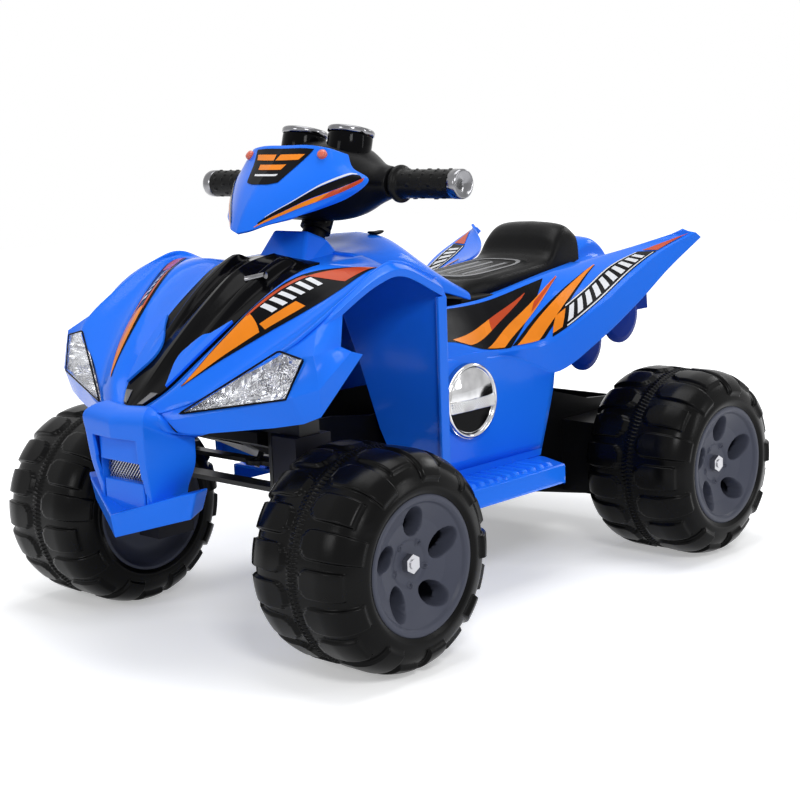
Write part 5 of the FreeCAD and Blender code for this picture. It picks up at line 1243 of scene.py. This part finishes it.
# %% Gauges
GAUGE_WAY = np.array((0, 0.26, 0.966)) / np.linalg.norm((0, 0.26, 0.966))
POD = [(0.004, 0.0285), (0.010, 0.0300), (0.030, 0.0300), (0.0338, 0.0292), (0.0338, 0.0262), (0.031, 0.0255),
       (0.031, 0.0001)]
BEZEL = [(0.0330, 0.0300), (0.0345, 0.0315), (0.0390, 0.0315), (0.0408, 0.0300), (0.0405, 0.0276),
         (0.0375, 0.0262), (0.0340, 0.0262)]
one, two = np.array((1.0, 0, 0)), np.cross(GAUGE_WAY, (1.0, 0, 0))
bezel_parts, tick_parts = [], []
for side, name in ((1, "left"), (-1, "right")):
    foot = front((44 * side, 196, 462))
    g = ring_grid(POD, foot, GAUGE_WAY, 72)
    pod = piece("gauge_cup_" + name, [(g, quads_of(g, (False, True), away=foot + GAUGE_WAY * 0.02))], "handlebar",
                ("gauge_pod_" + name,))
    dress(pod, "gloss_black")
    g = ring_grid(BEZEL, foot, GAUGE_WAY, 72)
    bezel_parts.append((g, quads_of(g, (False, True), away=foot)))
    face = foot + GAUGE_WAY * 0.0316
    for k in range(11):
        angle = math.radians(-40 + k * 26)
        spoke = one * math.cos(angle) + two * math.sin(angle)
        tick_parts.append(bead(np.array((face + spoke * 0.018, face + spoke * 0.0225)), 0.0005, 4))
    hand = one * math.cos(1.1) + two * math.sin(1.1)
    tick_parts.append(bead(np.array((face - hand * 0.004, face + hand * 0.016)), 0.0007, 4))
bezel = piece("gauge_rings", bezel_parts, "handlebar", ("gauge_bezels",))
dress(bezel, "dark_chrome")
ticks = piece("gauge_ticks", tick_parts, "handlebar", smooth=False)
dress(ticks, "gear_white")
print("gauges made, ticks", len(tick_parts))

# %% [markdown]
# Each grip is a rubber sleeve with a flange by the hand guard, a row of short raised dashes round it and a bright
# end cap. The sleeve is turned: its profile has the flange and soft shoulders, and the dashes are a raised band
# wherever two waves agree.

# %% Grips
BAR_Y, BAR_Z, BAR_HALF = FRONT + 0.203, AXLE + 0.430, 0.242
long_way = np.concatenate([np.linspace(0.0, 0.012, 13), np.linspace(0.013, 0.096, 84)])
radius = np.where(long_way < 0.007, 0.0245 - 0.0022 * (np.abs(long_way - 0.0035) / 0.0035) ** 3,
                  0.0185 + 0.0040 * np.exp(-((long_way - 0.007) / 0.0016)))
angle = np.linspace(0, 2 * np.pi, 120, endpoint=False)
DASH_FROM, DASH_TO, DASH_ROW = 0.016, 0.092, 0.018
rows_along = (long_way[:, None] - DASH_FROM) / DASH_ROW
dash = ease(np.cos(angle[None] * 8 + np.floor(rows_along) * np.pi), 0.72, 0.86)
dash_row = ease(np.sin(rows_along * np.pi * 2 + angle[None] * 0.8), 0.2, 0.6)
dash_row = dash_row * (long_way[:, None] > DASH_FROM) * (long_way[:, None] < DASH_TO)
sleeve_radius = radius[:, None] + 0.0011 * dash * dash_row
CAP = [(0.0, 0.0165), (0.006, 0.0184), (0.0065, 0.0189), (0.018, 0.0189), (0.0205, 0.0180), (0.021, 0.0165),
       (0.0200, 0.0150), (0.0200, 0.0045), (0.0180, 0.0035), (0.0180, 0.0001)]
cap_parts = []
for side, name in ((1, "left"), (-1, "right")):
    start = np.array((side * (BAR_HALF - 0.112), BAR_Y, BAR_Z))
    g = np.zeros((len(long_way), len(angle), 3))
    g[..., 0] = start[0] + side * long_way[:, None]
    g[..., 1] = start[1] + sleeve_radius * np.cos(angle)[None]
    g[..., 2] = start[2] + sleeve_radius * np.sin(angle)[None]
    hub = g[:1].mean(1, keepdims=True)
    g = np.concatenate([hub + (g[:1] - hub) * 0.6, g])
    sleeve_faces = quads_of(g, (False, True), away=start + np.array((side * 0.05, 0, 0)))
    grip = piece("grip_sleeve_" + name, [(g, sleeve_faces)], "handlebar", ("grip_" + name,))
    dress(grip, "grip_rubber")
    begin = np.array((side * (BAR_HALF - 0.022), BAR_Y, BAR_Z))
    g = ring_grid(CAP, begin, (side, 0, 0), 64)
    cap_parts.append((g, quads_of(g, (False, True), away=begin + np.array((side * 0.010, 0, 0)))))
caps = piece("bar_end_caps", cap_parts, "handlebar", ("grip_end_caps",))
dress(caps, "dark_chrome")
print("grip grid", sleeve_radius.shape)

# %% [markdown]
# The tyres are hard blow-moulded plastic. Each half carries big staggered pads that start in a round end beside
# the middle and run over the shoulder, every other one longer down the side, and a ring of small teeth hides the
# mould seam. All of it is height on one surface: a tyre section carried round the axle, raised where a point lies
# inside a pad's outline.

# %% Tyres
# Points of half the section: place across the tyre, and radius.
PADS, TURNS, TREAD_RADIUS = 18, 720, 0.1349
TYRE_SECTION = np.array(((-0.084, 0.0850), (-0.0870, 0.0925), (-0.0845, 0.1030), (-0.0805, 0.1115),
                         (-0.0730, 0.1195), (-0.0630, 0.1255), (-0.0500, 0.1290), (-0.0350, 0.1305),
                         (-0.0180, 0.1308), (0, 0.1308)))
half = curve(TYRE_SECTION, 5)
section = np.concatenate([half, half[-2::-1] * (-1, 1)])
step = np.gradient(section, axis=0)
outward = np.stack([-step[:, 1], step[:, 0]], 1)
outward = outward / np.linalg.norm(outward, axis=1, keepdims=True)
reach = np.concatenate([[0], np.cumsum(np.linalg.norm(np.diff(half, axis=0), axis=1))])
reach = reach[-1] - reach
from_middle = np.concatenate([reach, reach[-2::-1]])
which = np.where(section[:, 0] < 0, 0.0, 0.5)
angle = np.linspace(0, 2 * np.pi, TURNS, endpoint=False)
turn = angle[None] * PADS / (2 * np.pi) + which[:, None]
place = np.abs(turn % 1 - 0.5) * 2
number = np.floor(turn).astype(int) % 2
# A pad starts in a half ellipse, keeps its width, and ends across the side. Its height follows how far inside it a
# point lies.
start_of_pad = 0.012
end_of_pad = np.where(number == 0, 0.098, 0.078)
shape_in = (from_middle[:, None] - start_of_pad) / 0.016
width = 0.80 * np.sqrt(np.clip(1 - np.clip(1 - shape_in, 0, 1) ** 2, 0, 1))
inside = np.minimum((width - place) / 0.10, 1.0)
inside = np.minimum(inside, (end_of_pad - from_middle[:, None]) / 0.004)
pad_height = 0.0042 * ease(inside, 0, 1)
rib = 0.0009 * np.exp(-((inside - 1.2) / 0.5) ** 2) * (inside > 0)
teeth = 0.0030 * ease(np.cos(angle[None] * 144 + np.where(section[:, 0] < 0, 0, np.pi)[:, None]), -0.2, 0.3)
teeth = teeth * (1 - ease(np.abs(section[:, 0])[:, None], 0.0062, 0.0074))
height = np.maximum(pad_height + rib, teeth)
tyre_x = section[:, :1] + height * outward[:, :1]
tyre_r = np.minimum(section[:, 1:] + height * outward[:, 1:], TREAD_RADIUS)
WHEELS = [(axle, side, name, y) for axle, y in (("front", FRONT), ("rear", REAR))
          for side, name in ((1, "left"), (-1, "right"))]
for axle, side, name, y in WHEELS:
    g = np.zeros(tyre_x.shape + (3,))
    g[..., 0] = side * (HALF_TRACK + tyre_x)
    g[..., 1] = y + tyre_r * np.cos(angle)[None]
    g[..., 2] = AXLE + tyre_r * np.sin(angle)[None]
    tyre = grid_piece("tyre_skin_%s_%s" % (axle, name), g, "wheel_%s_%s" % (axle, name),
                      ("tyre_%s_%s" % (axle, name),), wrap=(False, True), away=(side * HALF_TRACK, y, AXLE))
    dress(tyre, "tyre_black")
print("tyre grid", tyre_x.shape)

# %% [markdown]
# The wheel disc is a shallow dish of slate-grey plastic with five oval windows and five small screw bosses
# between them. The windows are deep dents with steep walls, worked out from the distance to each oval, so the
# dish stays one clean surface.

# %% Wheel discs
# Points of the dish: radius, and place across the wheel. SPLITS says how finely each span is cut.
OUTER = np.array(((0.0850, 0.0835), (0.0835, 0.0850), (0.0790, 0.0850), (0.0765, 0.0835), (0.0740, 0.0800),
                  (0.0550, 0.0705), (0.0300, 0.0635), (0.0260, 0.0615), (0.0150, 0.0605), (0.0065, 0.0603)))
SPLITS = (3, 3, 3, 3, 26, 30, 6, 6, 4)
spans = [np.linspace(a, b, n, endpoint=False) for a, b, n in zip(OUTER[:-1], OUTER[1:], SPLITS)]
disc_line = np.concatenate(spans + [OUTER[-1:]])
BACK = np.array(((0.177, 0.0066), (0.177, 0.024), (0.181, 0.024), (0.181, 0.079), (0.167, 0.080), (0.167, 0.0848),
                 (0.3335, 0.0848)))
angle = np.linspace(0, 2 * np.pi, 300, endpoint=False)
r = disc_line[:, :1]
wedge = (angle[None] + np.pi / 5) % (2 * np.pi / 5) - np.pi / 5
across_oval = r * np.sin(wedge)
along_oval = r * np.cos(wedge) - 0.0520
skew = along_oval * 0.25
oval = np.hypot((across_oval - skew) / 0.0160, along_oval / 0.0200)
dent = 0.024 * (1 - ease(oval, 0.84, 1.00))
wedge_between = angle[None] % (2 * np.pi / 5) - np.pi / 5
boss = np.hypot(r * np.sin(wedge_between), r * np.cos(wedge_between) - 0.0270)
bump = 0.0022 * (1 - ease(boss, 0.0034, 0.0042)) - 0.0030 * (1 - ease(boss, 0.0014, 0.0020))
depth = disc_line[:, 1:] - dent + bump
for axle, side, name, y in WHEELS:
    g = np.zeros(depth.shape + (3,))
    g[..., 0] = side * (HALF_TRACK + depth)
    g[..., 1] = y + r * np.cos(angle + np.pi / 2)[None]
    g[..., 2] = AXLE + r * np.sin(angle + np.pi / 2)[None]
    outer_faces = quads_of(g, (False, True), away=(side * 0.10, y, AXLE))
    outer_faces = outer_faces[dent.ravel()[outer_faces].mean(1) < 0.0225]
    back = ring_grid(BACK * (side, 1), (0, y, AXLE), (1, 0, 0), 96)
    back_faces = quads_of(back, (False, True), away=(side * HALF_TRACK, y, AXLE))
    disc = piece("wheel_dish_%s_%s" % (axle, name), [(g, outer_faces), (back, back_faces)],
                 "wheel_%s_%s" % (axle, name), ("wheel_disc_%s_%s" % (axle, name),))
    dress(disc, "slate_grey")
print("disc grid", depth.shape)

# %% [markdown]
# The footrests are slabs with a row of rounded ribs across them, so that a shoe does not slip. The ribs are a
# wave on the slab's top, and the outer edge turns down.

# %% Footrests
y = np.linspace(FRONT + 0.182, REAR - 0.190, 200)
x = np.concatenate([[0.0905, 0.140], np.linspace(0.146, 0.199, 20), [0.2015, 0.2040, 0.2050, 0.2050]])
gx, gy = np.meshgrid(x, y, indexing="ij")
RIB_PITCH, RIB_COUNT, RIBS_FROM = 0.018, 13, FRONT + 0.19
wave = ease(np.cos((gy - FRONT - 0.1995) / RIB_PITCH * 2 * np.pi), -0.5, 0.2)
wave = wave * (gy > RIBS_FROM) * (gy < RIBS_FROM + RIB_COUNT * RIB_PITCH)
rib = 0.0055 * wave * ease(gx, 0.146, 0.150) * (1 - ease(gx, 0.195, 0.199))
edge = np.array([0.0] * 23 + [0.0006, 0.0022, 0.0265])[:, None]
corner = np.maximum(gy - (REAR - 0.214) - (0.205 - gx) * 0.43, 0)
gz = AXLE + 0.025 + rib - edge
rest_grid = np.stack([gx, gy - corner, gz], -1)
for side, name in ((1, "left"), (-1, "right")):
    g = rest_grid * (side, 1, 1)
    rest = grid_piece("footrest_top_" + name, g, "chassis", ("footrest_" + name,),
                      away=(side * 0.15, 0.0, 0.10), wall=0.004, bevel=0.0012)
    dress(rest, "body_blue")
print("footrest grid", rest_grid.shape)

# %% [markdown]
# On each side panel a bright round cover stands for the engine: a raised ring, a bright dome in the upper half, a
# knurled band across the middle, and a dark hollow below it. It is turned, and its heights change round the axis.

# %% Engine covers
# From the rim to the middle: the ring's wall, the ring's round top, then the inside, which depends on how high up a
# point lies.
RING_ROWS = 12
radius = np.concatenate([np.full(4, 0.0520), np.linspace(0.0520, 0.0450, 8), np.linspace(0.0445, 0.0001, 60)])
angle = np.linspace(0, 2 * np.pi, 300, endpoint=False)
upright = radius[:, None] * np.cos(angle)[None]
across = radius[:, None] * np.sin(angle)[None]
rim = np.concatenate([np.linspace(0, 0.0085, 4), 0.0085 + 0.0035 * np.sin(np.linspace(0, np.pi, 8)),
                      np.zeros(60)])[:, None]
dome = 0.0080 + 0.0085 * np.clip(1 - (upright - 0.006) ** 2 / 0.0018 - across ** 2 / 0.0026, 0, 1)
knurl = 0.0135 + 0.0007 * np.sin(across * 1500) * np.sin((upright + 0.004) * 1500)
hollow = np.full(dome.shape, 0.0065)
inside = np.where(upright > 0.004, dome, np.where(upright > -0.012, knurl, hollow))
cover_height = np.where(np.arange(len(radius))[:, None] < RING_ROWS, rim, inside)
profile = np.stack([np.zeros(len(radius)), radius], 1)
for side, name in ((1, "left"), (-1, "right")):
    centre = rear((140 * side, -344, 130))
    g = ring_grid(profile, centre, (side, 0, 0), 300)
    g[..., 0] += side * cover_height
    cover_faces = quads_of(g, (False, True), away=centre - np.array((side * 0.03, 0, 0)))
    cover = piece("engine_round_" + name, [(g, cover_faces)], "chassis", ("engine_cover_" + name,))
    dress(cover, "chrome_trim")
    arc = np.linspace(math.radians(106), math.radians(254), 60)
    well = np.stack([np.full(60, side * 0.0072), np.sin(arc) * 0.0432, np.cos(arc) * 0.0432], 1) + centre
    sump = piece("engine_hollow_" + name, [plate(well, (side * 0.0008, 0, 0))], "chassis", smooth=False)
    dress(sump, "gloss_black")
print("engine cover grid", cover_height.shape)

# %% [markdown]
# The stage is a plain white floor. Seen by the camera, in reflections and through the lenses, it is white by itself
# and a little darker close to the bike, while its own surface still takes the bike's soft shadow. Lighting it until it
# turned white would wash out the bike, so the white is added for those rays only.

# %% Floor
def seen_rays(tree):
    """1 for rays from the camera, in reflections and through clear pieces, and 0 for the rays that light things."""
    ray = tree.nodes.new("ShaderNodeLightPath")
    seen, through = (add(tree, "ShaderNodeMath", operation="MAXIMUM") for _ in range(2))
    tree.links.new(ray.outputs["Is Camera Ray"], seen.inputs[0])
    tree.links.new(ray.outputs["Is Glossy Ray"], seen.inputs[1])
    tree.links.new(seen.outputs["Value"], through.inputs[0])
    tree.links.new(ray.outputs["Is Transmission Ray"], through.inputs[1])
    return through.outputs["Value"]


floor_mesh = bpy.data.meshes.new("floor")
floor_mesh.from_pydata([(-6, -6, 0), (6, -6, 0), (6, 6, 0), (-6, 6, 0)], [], [(0, 1, 2, 3)])
floor = bpy.data.objects.new("floor", floor_mesh)
bpy.context.scene.collection.objects.link(floor)
floor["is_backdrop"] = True
paper = bpy.data.materials.new("floor_white")
paper.use_nodes = True
tree = paper.node_tree
shader = tree.nodes["Principled BSDF"]
shader.inputs["Base Color"].default_value = (0.92, 0.92, 0.92, 1)
shader.inputs["Roughness"].default_value = 0.9
shader.inputs["Specular IOR Level"].default_value = 0.0
white = tree.nodes.new("ShaderNodeEmission")
white.inputs["Color"].default_value = (1, 1, 1, 1)
place = tree.nodes.new("ShaderNodeTexCoord")
far = add(tree, "ShaderNodeVectorMath", operation="LENGTH")
tree.links.new(place.outputs["Object"], far.inputs[0])
fade = add(tree, "ShaderNodeMapRange", From_Min=0.50, From_Max=0.95, To_Min=0.36, To_Max=1.0)
tree.links.new(far.outputs["Value"], fade.inputs["Value"])
amount = add(tree, "ShaderNodeMath", operation="MULTIPLY")
tree.links.new(seen_rays(tree), amount.inputs[0])
tree.links.new(fade.outputs["Result"], amount.inputs[1])
tree.links.new(amount.outputs["Value"], white.inputs["Strength"])
both = tree.nodes.new("ShaderNodeAddShader")
tree.links.new(shader.outputs["BSDF"], both.inputs[0])
tree.links.new(white.outputs["Emission"], both.inputs[1])
tree.links.new(both.outputs["Shader"], tree.nodes["Material Output"].inputs["Surface"])
floor_mesh.materials.append(paper)
print("floor", tuple(floor.dimensions))

# %% [markdown]
# Round the stage the world is white for the same rays, and a dim, slightly cool grey for the light that fills the
# shadows. One mix between two backgrounds does that.

# %% Surround
world = bpy.data.worlds.new("studio")
bpy.context.scene.world = world
world.use_nodes = True
tree = world.node_tree
ambient = tree.nodes["Background"]
ambient.inputs["Color"].default_value = (0.93, 0.96, 1.0, 1)
ambient.inputs["Strength"].default_value = 0.36
plain = tree.nodes.new("ShaderNodeBackground")
plain.inputs["Color"].default_value = (1, 1, 1, 1)
mix = tree.nodes.new("ShaderNodeMixShader")
tree.links.new(seen_rays(tree), mix.inputs["Fac"])
tree.links.new(ambient.outputs["Background"], mix.inputs[1])
tree.links.new(plain.outputs["Background"], mix.inputs[2])
tree.links.new(mix.outputs["Shader"], tree.nodes["World Output"].inputs["Surface"])
print("world light", round(ambient.inputs["Strength"].default_value, 2))

# %% [markdown]
# The light is that of a small studio: a wide soft panel overhead, a key light beside the camera, a narrow strip along
# the left side for the long highlights, a weak fill in front, and an edge light from behind. All of it is kept at a
# level where a colour shows about as it is written.

# %% Lamps
def lamp(name, spot, aim, size, power):
    """A soft rectangular light at a spot, facing a point."""
    light = bpy.data.lights.new(name, "AREA")
    light.shape = "RECTANGLE"
    light.size, light.size_y = size
    light.energy = power
    thing = bpy.data.objects.new(name, light)
    z = np.asarray(spot, float) - np.asarray(aim, float)
    z = z / np.linalg.norm(z)
    x = np.cross((0.0, 0.0, 1.0), z) if abs(z[2]) < 0.99 else np.array((1.0, 0, 0))
    x = x / np.linalg.norm(x)
    m = np.eye(4)
    m[:3, 0], m[:3, 1], m[:3, 2], m[:3, 3] = x, np.cross(z, x), z, spot
    thing.matrix_world = Matrix(m.tolist())
    bpy.context.scene.collection.objects.link(thing)


lamp("overhead", (0.0, 0.1, 2.1), (0, 0, 0.3), (1.3, 1.3), 20)
lamp("key", (1.65, -1.25, 1.5), (0, 0, 0.3), (0.45, 0.45), 16)
lamp("side_strip", (2.0, 0.9, 0.9), (0, 0.1, 0.35), (0.18, 0.9), 6)
lamp("fill", (-0.3, -2.4, 1.2), (0, 0, 0.3), (0.6, 0.6), 9)
lamp("back_edge", (0.4, 2.0, 1.5), (0, 0.1, 0.35), (1.0, 0.4), 8)
bpy.context.scene.view_settings.view_transform = "Standard"

# %% [markdown]
# Last, the box round the dressed bike is measured beside the box of the bare frame, because a visual piece has to stay
# close to the solid that it stands for.

# %% Finish
new_box = [list(corner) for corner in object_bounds()]
for label, box in (("frame", cad_box), ("dressed", new_box)):
    print(label, "box", [[round(v, 4) for v in corner] for corner in box])
